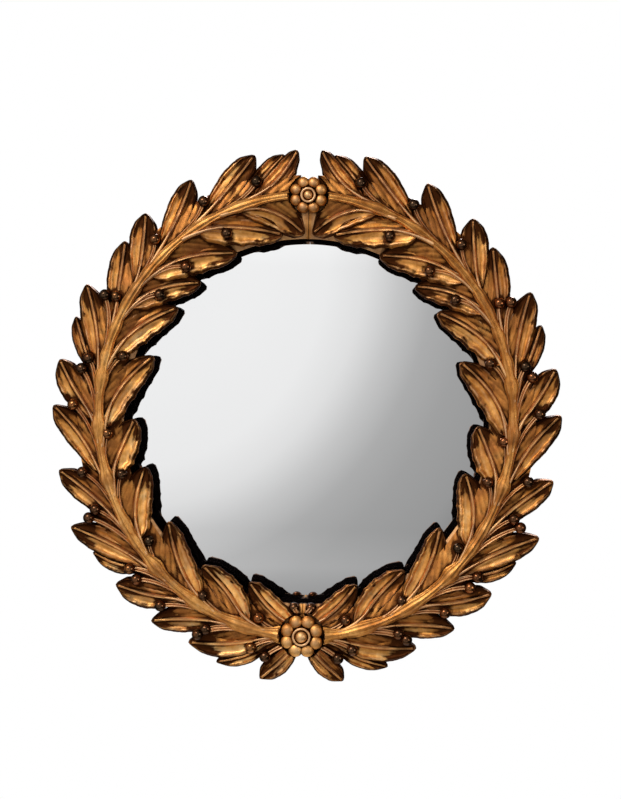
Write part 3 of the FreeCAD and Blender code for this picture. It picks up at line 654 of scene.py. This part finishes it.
def mark_cavities(shapes):
    """Marks each point with how deep it lies under what is round it; the gilt paints this as shade
    in crevices and under higher leaves, on top of the brown wash there.
    """
    tall = height_map(shapes)
    means = [(softened(tall, reach), weight) for reach, weight in (NEARBY, WIDER)]
    for shape in shapes:
        points = shape.joined()
        cells = cells_of(points)
        depth = sum(weight * (mean[cells] - points[:, 2]) for mean, weight in means)
        shape.marks["cavity"] = [np.clip(depth, -1, 1.5)]


# ---- wreath pieces

def mirrored(shape):
    """The right-hand copy of a left-hand shape, with tones of its own."""
    twin = Shape()
    twin.points = [points * (-1, 1, 1) for points in shape.points]
    twin.faces = shape.faces
    twin.marks = dict(shape.marks)
    twin.marks["tone"] = [tone * 0.6 - 0.12 * math.sin(index * 5.3)
                          for index, tone in enumerate(shape.marks["tone"])]
    twin.count = shape.count
    return twin


def build_wreath(finishes):
    leaves, stem, stalks, berries, plate, bed = (Shape() for _ in range(6))
    for seed, leaf in enumerate(OUTER_LEAVES + INNER_LEAVES):
        add_leaf(leaves, leaf, seed, inner=leaf in INNER_LEAVES)
        add_petiole(stem, leaf)
    add_stem(stem)
    for seed, (station, offset) in enumerate(BERRIES):
        add_stalk(stalks, station, offset, seed)
        add_berry(berries, station, offset, seed)
    add_plate(plate)
    add_bed(bed)
    for shape in (leaves, stem, stalks, bed):
        clear_rosettes(shape)
    branch = {"leaves": leaves, "stem": stem, "stalks": stalks, "berries": berries,
              "plate": plate, "bed": bed}
    rosettes = {name: Shape() for name in ROSETTES}
    for name, shape in rosettes.items():
        add_rosette(shape, *ROSETTES[name], middle_up(name))
    mark_cavities([*branch.values(), *rosettes.values()])
    for side, turned in (("left", False), ("right", True)):
        for part, shape in branch.items():
            make_object(side + "_" + part, mirrored(shape) if turned else shape,
                        finishes["berry" if part == "berries" else "gold"],
                        [side + "_branch"], off_wall=CARRIER_FRONT, smooth_under=50.0)
    for name, shape in rosettes.items():
        make_object(name + "_petals", shape, finishes["gold"], [name],
                    off_wall=CARRIER_FRONT, smooth_under=50.0)


# ---- ring, glass and board

def build_carrier(finish):
    shape = Shape()
    depth = CARRIER_FRONT - CARRIER_BACK
    lip = depth - LIP_THICKNESS
    ease = 0.8
    outside, sight, rebate = CARRIER_RADIUS, SIGHT_RADIUS, REBATE_RADIUS
    profile = [(rebate + ease, 0), (outside - ease, 0), (outside - 0.25 * ease, 0.25 * ease),
               (outside, ease), (outside, depth - ease), (outside - ease, depth),
               (sight + ease, depth), (sight + 0.25 * ease, depth - 0.25 * ease),
               (sight, depth - ease), (sight, lip + ease), (sight + ease, lip), (rebate, lip),
               (rebate, ease), (rebate + 0.25 * ease, 0.25 * ease), (rebate + ease, 0)]
    # painted shade: the faces of the rebate and the sight bore get near black, darker than the
    # ring's paint elsewhere, for the shade in that recess
    shaded_inside = np.array([[float(radius <= rebate)] for radius, _ in profile])
    lathe(shape, profile, steps=256, black=shaded_inside)
    make_object("turned_ring", shape, finish, ["carrier_ring"], off_wall=CARRIER_BACK)


def build_glass(finish):
    sphere = (GLASS_RADIUS ** 2 + GLASS_BULGE ** 2) / (2 * GLASS_BULGE)
    inner = sphere - GLASS_THICKNESS
    ease = 0.4

    def on_ball(ball, radius):
        return GLASS_APEX - sphere + math.sqrt(ball ** 2 - radius ** 2)

    profile = [(0.0, on_ball(inner, 0.0))]
    profile += [(r, on_ball(inner, r)) for r in np.linspace(4, GLASS_RADIUS - ease, 24)]
    profile += [(GLASS_RADIUS, on_ball(inner, GLASS_RADIUS) + ease),
                (GLASS_RADIUS, on_ball(sphere, GLASS_RADIUS) - ease)]
    profile += [(r, on_ball(sphere, r)) for r in np.linspace(GLASS_RADIUS - ease, 2, 96)]
    profile.append((0.0, GLASS_APEX))
    shape = Shape()
    lathe(shape, profile, steps=224)
    make_object("domed_glass", shape, finish, ["convex_glass"])


def build_board(finish):
    shape = Shape()
    thick = BOARD_FRONT - CARRIER_BACK
    ease, midway = 0.5, 90
    lathe(shape, [(0.0, 0), (midway, 0), (BOARD_RADIUS - ease, 0), (BOARD_RADIUS, ease),
                  (BOARD_RADIUS, thick - ease), (BOARD_RADIUS - ease, thick), (midway, thick),
                  (0.0, thick)], steps=192)
    make_object("back_panel", shape, finish, ["backboard"], off_wall=CARRIER_BACK)


# ---- hardware in the back

SCREW_CIRCLE = (REBATE_RADIUS + CARRIER_RADIUS) / 2
BUTTON_ANGLES = {"top": 90.0, "lower_left": 210.0, "lower_right": 330.0}
BUTTON_TIP, BUTTON_HEEL, BUTTON_HALF, BUTTON_CORNER = 24.5, 5.5, 4.5, 3.2
RUNNING_GAP = 0.1  # between a turn button and its screw's head
HEAD_RADIUS, HEAD_HEIGHT, SHANK_RADIUS, SCREW_LENGTH = 3.8, 1.4, 2.0, 12.0
SCREW_HOLE = SHANK_RADIUS + 0.05
RECESS_HALF, RECESS_REACH, RECESS_DEPTH = 0.42, 2.0, 0.9
STRAP_HALF, STRAP_LENGTH, STRAP_THICK, STRAP_CORNER = 6.0, 21.0, 1.5, 2.0
STRAP_HOLE_DROP = 14.0  # from the hinge down to the screw
STRAP_TOP_DROP = 1.2  # from the hinge down to the end of the flat strip
EYE_RADIUS, EYE_BORE, WIRE_RADIUS = 2.284, 1.45, 1.0
RING_HALF_WIDTH, RING_STRAIGHT = 8.5, 4.5


def rounded_box(x0, x1, y0, y1, corner):
    """The outline of a rectangle with round corners, from its lower right corner on."""
    points = []
    for x, y, start in ((x1 - corner, y0 + corner, -90), (x1 - corner, y1 - corner, 0),
                        (x0 + corner, y1 - corner, 90), (x0 + corner, y0 + corner, 180)):
        points += arc(x, y, corner, start, start + 90, 8)
    return np.array(points)


def add_bored_plate(shape, outline, low, high, ease):
    """A flat plate with eased edges and a screw's hole at the bench's origin."""
    turns = np.arctan2(outline[:, 1], outline[:, 0])
    hole = np.column_stack((np.cos(turns), np.sin(turns))) * SCREW_HOLE
    mouth = hole * 1.08
    inwards = outline - outline / np.linalg.norm(outline, axis=1)[:, None] * ease
    shape.grid([np.column_stack((loop, np.full(len(loop), height))) for loop, height in (
        (hole, low + ease / 2), (hole, high - ease / 2), (mouth, high), (inwards, high),
        (outline, high - ease), (outline, low + ease), (inwards, low), (mouth, low),
        (hole, low + ease / 2))])


def place(shape, angle, x, y):
    """Turns a shape about the bench's z axis by degrees, then moves it."""
    c, s = math.cos(math.radians(angle)), math.sin(math.radians(angle))
    for points in shape.points:
        points[:, 0], points[:, 1] = (points[:, 0] * c - points[:, 1] * s + x,
                                      points[:, 0] * s + points[:, 1] * c + y)


def add_screw(shape, x, y, seat):
    """A pan-head screw with a cross recess, its head towards the wall at the seat."""
    turns = full_turn(64)
    rings = []
    for share in (0.0, 0.1, 0.17, 0.24, 0.3, 0.36, 0.42, 0.5, 0.56, 0.64, 0.74, 0.84, 0.92, 0.97):
        ring = ring_points(HEAD_RADIUS * share, turns, 0.0)
        across, along = abs(ring[:, 0]), abs(ring[:, 1])
        recess = (((across < RECESS_HALF) & (along < RECESS_REACH))
                  | ((along < RECESS_HALF) & (across < RECESS_REACH)))
        ring[:, 2] = (seat - HEAD_HEIGHT * (1 - 0.45 * share ** 2.5)
                      + np.where(recess, RECESS_DEPTH * (1 - share), 0.0))
        rings.append(ring + (x, y, 0.0))
    for radius, height in ((HEAD_RADIUS, -0.55), (HEAD_RADIUS, -0.1), (HEAD_RADIUS - 0.1, 0.0),
                           (SHANK_RADIUS, 0.0), (SHANK_RADIUS, SCREW_LENGTH - 2.0),
                           (0.0, SCREW_LENGTH)):
        rings.append(ring_points(radius, turns, seat + height) + (x, y, 0.0))
    shape.grid(rings)


def build_turn_buttons(finish):
    screws = Shape()
    back, front = back_of("turn_button_top"), front_of("turn_button_top")
    for name, angle in BUTTON_ANGLES.items():
        x = SCREW_CIRCLE * math.cos(math.radians(angle))
        y = SCREW_CIRCLE * math.sin(math.radians(angle))
        shape = Shape()
        outline = rounded_box(-BUTTON_TIP, BUTTON_HEEL, -BUTTON_HALF, BUTTON_HALF,
                              BUTTON_CORNER)
        add_bored_plate(shape, outline, back, front, ease=0.35)
        place(shape, angle, x, y)
        node = "turn_button_" + name
        make_object(node + "_bar", shape, finish, [node], body=node)
        add_screw(screws, x, y, back - RUNNING_GAP)
    make_object("button_screws", screws, finish, ["turn_button_screws"])


def add_tube(shape, x0, x1, y, z, outer, inner):
    """A short pipe along x."""
    turns = full_turn(32)
    ease = 0.15
    shape.grid([np.column_stack((np.full(len(turns), x), y + radius * np.cos(turns),
                                 z + radius * np.sin(turns)))
                for x, radius in ((x0, inner), (x1, inner), (x1, outer - ease),
                                  (x1 - ease, outer), (x0 + ease, outer), (x0, outer - ease),
                                  (x0, inner))])


def arc(x, y, radius, start, end, steps):
    """Flat points round a centre, from one angle in degrees to another."""
    return [(x + radius * math.cos(turn), y + radius * math.sin(turn))
            for turn in np.radians(np.linspace(start, end, steps))]


def ring_path():
    """The middle line of a hanger's wire, from its hinge round its bow."""
    corner = 1.2
    side = RING_HALF_WIDTH - corner
    return np.array([(x, 0.0) for x in np.linspace(-side, side, 8)]
                    + arc(side, corner, corner, -75, 0, 6)
                    + arc(0.0, RING_STRAIGHT, RING_HALF_WIDTH, 0, 180, 33)
                    + arc(-side, corner, corner, 180, 255, 6))


def build_hangers(finish):
    screws = Shape()
    for side in ("left", "right"):
        low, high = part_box("hanger_ring_" + side)
        x = (low.x + high.x) / 2 / MM
        hinge_up = low.z / MM + WIRE_RADIUS
        hinge_off = -(low.y + high.y) / 2 / MM
        screw_up = hinge_up - STRAP_HOLE_DROP
        strap = Shape()
        outline = rounded_box(-STRAP_HALF, STRAP_HALF, STRAP_HOLE_DROP - STRAP_LENGTH,
                              STRAP_HOLE_DROP - STRAP_TOP_DROP, STRAP_CORNER)
        add_bored_plate(strap, outline, CARRIER_BACK - STRAP_THICK, CARRIER_BACK, ease=0.25)
        place(strap, 0, x, screw_up)
        add_tube(strap, x - STRAP_HALF, x + STRAP_HALF, hinge_up, hinge_off, EYE_RADIUS,
                 EYE_BORE)
        make_object("hanger_" + side + "_strip", strap, finish, ["hanger_strap_" + side])
        path = ring_path() + np.array((x, hinge_up))
        ahead = np.roll(path, -1, axis=0) - np.roll(path, 1, axis=0)
        ahead /= np.linalg.norm(ahead, axis=1)[:, None]
        across = np.column_stack((ahead[:, 1], -ahead[:, 0], np.zeros(len(path))))
        spine = np.column_stack((path, np.full(len(path), hinge_off)))
        loops = [spine + across * WIRE_RADIUS * math.cos(turn)
                 + (0.0, 0.0, WIRE_RADIUS * math.sin(turn)) for turn in full_turn(16)]
        ring = Shape()
        ring.grid(loops + loops[:1])
        node = "hanger_ring_" + side
        make_object(node + "_wire", ring, finish, [node], body=node)
        add_screw(screws, x, screw_up, CARRIER_BACK - STRAP_THICK)
    make_object("strap_screws", screws, finish, ["hanger_screws"])


def build_bumpers(finish):
    for side in ("left", "right"):
        low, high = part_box("bumper_" + side)
        x0, x1, y0, y1 = low.x / MM, high.x / MM, low.z / MM, high.z / MM
        deep = (high.y - low.y) / MM
        corner = 2.0
        rings = []
        for inset, level in ((0.9, 0.0), (0.25, 0.25), (0.0, 0.9), (0.35, deep / 2),
                             (0.0, deep - 0.5), (0.3, deep)):
            loop = rounded_box(x0 + inset, x1 - inset, y0 + inset, y1 - inset, corner)
            rings.append(np.column_stack((loop, np.full(len(loop), level))))
        shape = Shape()
        shape.grid(rings)
        shape.cap(rings)
        make_object("bumper_" + side + "_pad", shape, finish, ["bumper_" + side])


# ---- finishes

DARK_BROWN = (0.050, 0.013, 0.002, 1.0)
PALE_GOLD = (0.90, 0.62, 0.36, 1.0)
# also the painted shade on the rebate and bore faces of the ring
NEAR_BLACK = (0.003, 0.002, 0.002, 1.0)
RED_BROWN = (0.26, 0.07, 0.014, 1.0)
WHITE = (1.0, 1.0, 1.0, 1.0)


class Nodes:
    """Short calls for the nodes of a material or of the world."""

    def __init__(self, tree):
        self.tree = tree

    def node(self, kind, inputs, output=0, **settings):
        made = self.tree.nodes.new("ShaderNode" + kind)
        for name, value in settings.items():
            setattr(made, name, value)
        for socket, value in inputs.items():
            if isinstance(value, bpy.types.NodeSocket):
                self.tree.links.new(value, made.inputs[socket])
            else:
                made.inputs[socket].default_value = value
        return made.outputs[output]

    def maths(self, operation, a, b=0.0, c=0.0, clamp=False):
        return self.node("Math", {0: a, 1: b, 2: c}, operation=operation, use_clamp=clamp)

    def blend(self, factor, a, b, **settings):
        return self.node("Mix", {0: factor, 6: a, 7: b}, 2, data_type="RGBA", **settings)

    def ramp(self, value, stops):
        """Colours, or plain greys, at places from 0 to 1."""
        made = self.tree.nodes.new("ShaderNodeValToRGB")
        self.tree.links.new(value, made.inputs[0])
        elements = made.color_ramp.elements
        while len(elements) < len(stops):
            elements.new(0.5)
        for element, (position, colour) in zip(elements, stops):
            element.position = position
            element.color = (*(colour if isinstance(colour, tuple) else (colour,) * 3), 1.0)
        return made.outputs["Color"]


class Finish(Nodes):
    """A material under construction."""

    def __init__(self, name, **sockets):
        self.material = bpy.data.materials.new(name)
        self.material.use_nodes = True
        super().__init__(self.material.node_tree)
        self.shader = self.tree.nodes["Principled BSDF"]
        for socket, value in sockets.items():
            self.shader.inputs[socket.replace("_", " ")].default_value = value
        self.place = self.node("TexCoord", {}, "Object")

    def mark(self, name):
        return self.node("Attribute", {}, "Fac", attribute_name=name)

    def noise(self, scale, detail=4.0, roughness=0.55, stretch=None):
        place = self.place
        if stretch is not None:
            place = self.node("Mapping", {"Vector": place, "Scale": stretch})
        return self.node("TexNoise", {"Vector": place, "Scale": scale, "Detail": detail,
                                      "Roughness": roughness}, "Fac")

    def set(self, socket, value):
        self.tree.links.new(value, self.shader.inputs[socket])

    def bump(self, height, strength, distance):
        self.set("Normal", self.node("Bump", {"Height": height, "Strength": strength,
                                              "Distance": distance}))


def gilt(name, stops, darker=0.0, smoothest=0.33):
    """Gold paint rubbed back over brown: dark in crevices from brown wash and painted shade, pale
    on ridges, mottled between.
    """
    f = Finish(name)
    patches = f.noise(48.0, 4.0, 0.6)
    mottle = f.noise(150.0, 5.0, 0.65)
    hatch = f.noise(420.0, 3.0, 0.6, stretch=(1.0, 1.0, 0.22))

    def varied(level, *sources):
        for source, weight in sources:
            level = f.maths("ADD", level,
                            f.maths("MULTIPLY", f.maths("SUBTRACT", source, 0.5), weight))
        return level

    # the tone mark carries random tone and, on the leaves, their painted half light and shade
    level = varied(f.maths("MULTIPLY_ADD", f.mark("tone"), 0.34, 0.5 - darker),
                   (patches, 0.95), (mottle, 0.4), (hatch, 0.16))
    colour = f.ramp(level, stops)
    stain = f.ramp(f.noise(26.0, 2.0, 0.5), ((0.48, 0.0), (0.66, 0.55)))
    colour = f.blend(stain, colour, RED_BROWN)
    worn = f.maths("MULTIPLY", f.mark("rub"), f.maths("ADD", mottle, 0.15), clamp=True)
    colour = f.blend(worn, colour, PALE_GOLD)
    # painted shade: the cavity mark darkens crevices and the ground under higher leaves; the dark
    # mark adds brown wash on grooves, tips and edges
    grime_and_shade = f.maths("ADD", f.maths("MULTIPLY", f.mark("cavity"), 0.6),
                    f.maths("MULTIPLY", f.mark("dark"), 0.95))
    grime_and_shade = varied(grime_and_shade, (patches, 1.7), (mottle, 0.8))
    grime_and_shade = f.maths("SUBTRACT", f.maths("MULTIPLY", grime_and_shade, 1.6), 0.5, clamp=True)
    colour = f.blend(grime_and_shade, colour, DARK_BROWN)
    black = f.mark("black")
    f.set("Base Color", f.blend(black, colour, NEAR_BLACK))
    bare = f.maths("SUBTRACT", 1.0, black, clamp=True)
    f.set("Metallic", f.maths("MULTIPLY", bare, 0.95))
    f.set("Specular IOR Level", f.maths("MULTIPLY", bare, 0.5))
    f.set("Roughness", f.maths("MULTIPLY_ADD", mottle, 0.3, smoothest))
    f.bump(f.maths("ADD", hatch, mottle), 0.35, 0.0006)
    return f.material


def plain(name, noise, stops, bump=(), **sockets):
    """A finish whose colour, and bump if it has one, follows one noise."""
    f = Finish(name, **sockets)
    grain = f.noise(*noise)
    f.set("Base Color", f.ramp(grain, stops))
    if bump:
        f.bump(grain, *bump)
    return f, grain


def make_finishes():
    """Each finish with the material slot of the record that it belongs to."""
    gold = gilt("antique_gold_leaf", (
        (0.05, (0.05, 0.013, 0.002)), (0.28, (0.20, 0.062, 0.010)),
        (0.5, (0.47, 0.172, 0.030)), (0.74, (0.76, 0.36, 0.09)), (1.0, (0.92, 0.60, 0.26))))
    berry = gilt("antique_gold_berry", (
        (0.1, (0.015, 0.005, 0.001)), (0.5, (0.05, 0.015, 0.004)), (0.78, (0.28, 0.10, 0.022)),
        (1.0, (0.60, 0.28, 0.08))), darker=0.12, smoothest=0.0)
    ring = Finish("black_paint", Roughness=0.7, Specular_IOR_Level=0.0)
    grain = ring.noise(60.0, 5.0, 0.6, stretch=(1.0, 1.0, 6.0))
    wood = ring.ramp(grain, ((0.3, (0.014, 0.012, 0.011)), (0.8, (0.042, 0.036, 0.031))))
    # the near black on the rebate and bore faces is painted shade; the grained dark grey is the
    # ring's black paint
    ring.set("Base Color", ring.blend(ring.mark("black"), wood, NEAR_BLACK))
    ring.bump(grain, 0.2, 0.0004)
    glass, haze = plain("silvered_glass", (3.0, 2.0), (
        (0.2, (0.93, 0.935, 0.94)), (0.8, (0.96, 0.962, 0.965))), Metallic=1.0)
    glass.set("Roughness", glass.maths("MULTIPLY", haze, 0.05))
    board = Finish("pressed_board", Roughness=0.75)
    fibre = board.noise(420.0, 6.0, 0.7)
    mixed = board.maths("ADD", board.maths("MULTIPLY", fibre, 0.6),
                        board.maths("MULTIPLY", board.noise(9.0, 3.0), 0.4))
    board.set("Base Color", board.ramp(mixed, (
        (0.3, (0.16, 0.085, 0.042)), (0.5, (0.26, 0.15, 0.08)), (0.7, (0.36, 0.23, 0.13)))))
    board.bump(fibre, 0.4, 0.0004)
    cork = Finish("cork", Roughness=0.85)
    grains = cork.node("TexVoronoi", {"Vector": cork.place, "Scale": 500.0}, "Color")
    cork.set("Base Color", cork.ramp(grains, ((0.1, (0.30, 0.17, 0.08)),
                                              (0.9, (0.55, 0.36, 0.20)))))
    steel, bloom = plain("zinc_plate", (180.0, 5.0, 0.65), (
        (0.3, (0.42, 0.41, 0.37)), (0.6, (0.62, 0.61, 0.57)), (0.9, (0.74, 0.71, 0.62))),
        (0.15, 0.0002), Metallic=1.0)
    steel.set("Roughness", steel.maths("MULTIPLY_ADD", bloom, 0.4, 0.15))
    pad = plain("felt_pad", (900.0, 4.0, 0.7), (
        (0.3, (0.018, 0.018, 0.018)), (0.8, (0.06, 0.058, 0.055))), (0.7, 0.0005),
        Roughness=0.95, Sheen_Weight=0.3)[0]
    return {"gold": (gold, "antique_gold"), "berry": (berry, "antique_gold"),
            "ring": (ring.material, "black_wood"), "glass": (glass.material, "mirror_glass"),
            "board": (board.material, "board"), "cork": (cork.material, "packing"),
            "steel": (steel.material, "plated_steel"), "pad": (pad.material, "soft_pad")}


# ---- stage, light and camera

# Metres from here on.
FLOOR_LEVEL = -1.25
FLOOR_RADIUS = 0.9
CAMERA_DISTANCE = 3.0
CAMERA_RIGHT = 4.0  # degrees round to the object's right
CAMERA_UP = 4.0  # degrees over its middle
CAMERA_ROLL = 0.9  # degrees
PIXELS_HIGH, MM_PER_PIXEL = 799, 1.019
VIEW_HEIGHT = PIXELS_HIGH * MM_PER_PIXEL * MM  # what the picture's height covers at the wreath
AIM = Vector((0.0051, -0.040, 0.0238))
LIGHT_FROM = (-0.518, -0.798, 0.309)
# The world's grey by how far a direction leans towards that light, and its share by height.
LIGHT_FALL = ((0.0, 0.06), (0.25, 0.14), (0.46, 0.335), (0.59, 0.375), (0.675, 0.44),
              (0.745, 0.595), (0.805, 0.785), (0.865, 0.885), (0.95, 0.91))
ROOM_LEVELS = ((0.04, 0.30), (0.18, 0.70), (0.26, 1.15), (0.31, 0.97), (0.68, 1.0), (0.9, 1.4))
LAMPS = {"key_light": ((-1.3, -2.0, 2.0), 1.2, 46.0), "fill_light": ((2.1, -1.6, 0.3), 1.0, 14.0),
         "rear_light": ((0.4, 2.2, 1.6), 1.2, 80.0)}  # place, width and power


def build_floor():
    """A pale disc far below, which lights the wreath softly from under and looks white."""
    rim = ring_points(FLOOR_RADIUS, full_turn(96), FLOOR_LEVEL)
    mesh = bpy.data.meshes.new("studio_floor")
    mesh.from_pydata(rim.tolist(), [], [tuple(range(len(rim)))])
    floor = Finish("pale_floor", Base_Color=(0.82, 0.82, 0.81, 1.0), Roughness=0.8)
    white = floor.node("Emission", {"Color": WHITE, "Strength": 1.0})
    seen = floor.node("LightPath", {}, "Is Camera Ray")
    both = floor.node("MixShader", {0: seen, 1: floor.shader.outputs[0], 2: white})
    floor.tree.links.new(both, floor.tree.nodes["Material Output"].inputs["Surface"])
    mesh.materials.append(floor.material)
    made = bpy.data.objects.new("studio_floor", mesh)
    bpy.context.scene.collection.objects.link(made)


def build_world():
    """A broad soft light high on the left, fading to grey; white where the camera sees it."""
    world = bpy.data.worlds.new("studio")
    bpy.context.scene.world = world
    world.use_nodes = True
    world.node_tree.nodes.clear()
    w = Nodes(world.node_tree)
    place = w.node("TexCoord", {}, "Generated")
    towards = w.node("VectorMath", {0: place, 1: Vector(LIGHT_FROM).normalized()}, "Value",
                     operation="DOT_PRODUCT")
    height = w.node("SeparateXYZ", {0: place}, "Z")
    rise = w.node("MapRange", {"Value": height, "From Min": -1.0}, "Result")
    lit = w.blend(1.0, w.ramp(towards, LIGHT_FALL), w.ramp(rise, ROOM_LEVELS),
                  blend_type="MULTIPLY")
    seen = w.node("LightPath", {}, "Is Camera Ray")
    background = w.node("Background", {"Color": w.blend(seen, lit, WHITE)})
    output = w.tree.nodes.new("ShaderNodeOutputWorld")
    w.tree.links.new(background, output.inputs["Surface"])


def add_lamp(name, location, size, power):
    lamp = bpy.data.lights.new(name, "AREA")
    lamp.shape = "DISK"
    lamp.size = size
    lamp.energy = power
    made = bpy.data.objects.new(name, lamp)
    made.location = location
    made.rotation_euler = (AIM - made.location).to_track_quat("-Z", "Y").to_euler()
    bpy.context.scene.collection.objects.link(made)


def build_camera():
    camera = bpy.data.cameras.new("view")
    camera.sensor_width = 36.0
    camera.lens = camera.sensor_width / 2 / (VIEW_HEIGHT / 2 / CAMERA_DISTANCE)
    camera.clip_end = 50.0
    made = bpy.data.objects.new("view", camera)
    right, up = math.radians(CAMERA_RIGHT), math.radians(CAMERA_UP)
    back = Vector((math.sin(right) * math.cos(up), -math.cos(right) * math.cos(up),
                   math.sin(up)))
    made.location = AIM + back * CAMERA_DISTANCE
    turned = (-back).to_track_quat("-Z", "Y").to_matrix()
    turned = turned @ Matrix.Rotation(math.radians(CAMERA_ROLL), 3, "Z")
    made.rotation_euler = turned.to_euler()
    bpy.context.scene.collection.objects.link(made)
    bpy.context.scene.camera = made


# ---- all of it

def build_all():
    finishes = make_finishes()
    build_wreath(finishes)
    build_carrier(finishes["ring"])
    build_glass(finishes["glass"])
    build_board(finishes["board"])
    build_turn_buttons(finishes["steel"])
    build_hangers(finishes["steel"])
    build_bumpers(finishes["pad"])
    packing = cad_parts["packing_blocks"]
    packing.data.materials.clear()
    packing.data.materials.append(finishes["cork"][0])
    build_floor()
    build_world()
    for name, lamp in LAMPS.items():
        add_lamp(name, *lamp)
    build_camera()
    bpy.context.scene.view_settings.view_transform = "Standard"


build_all()
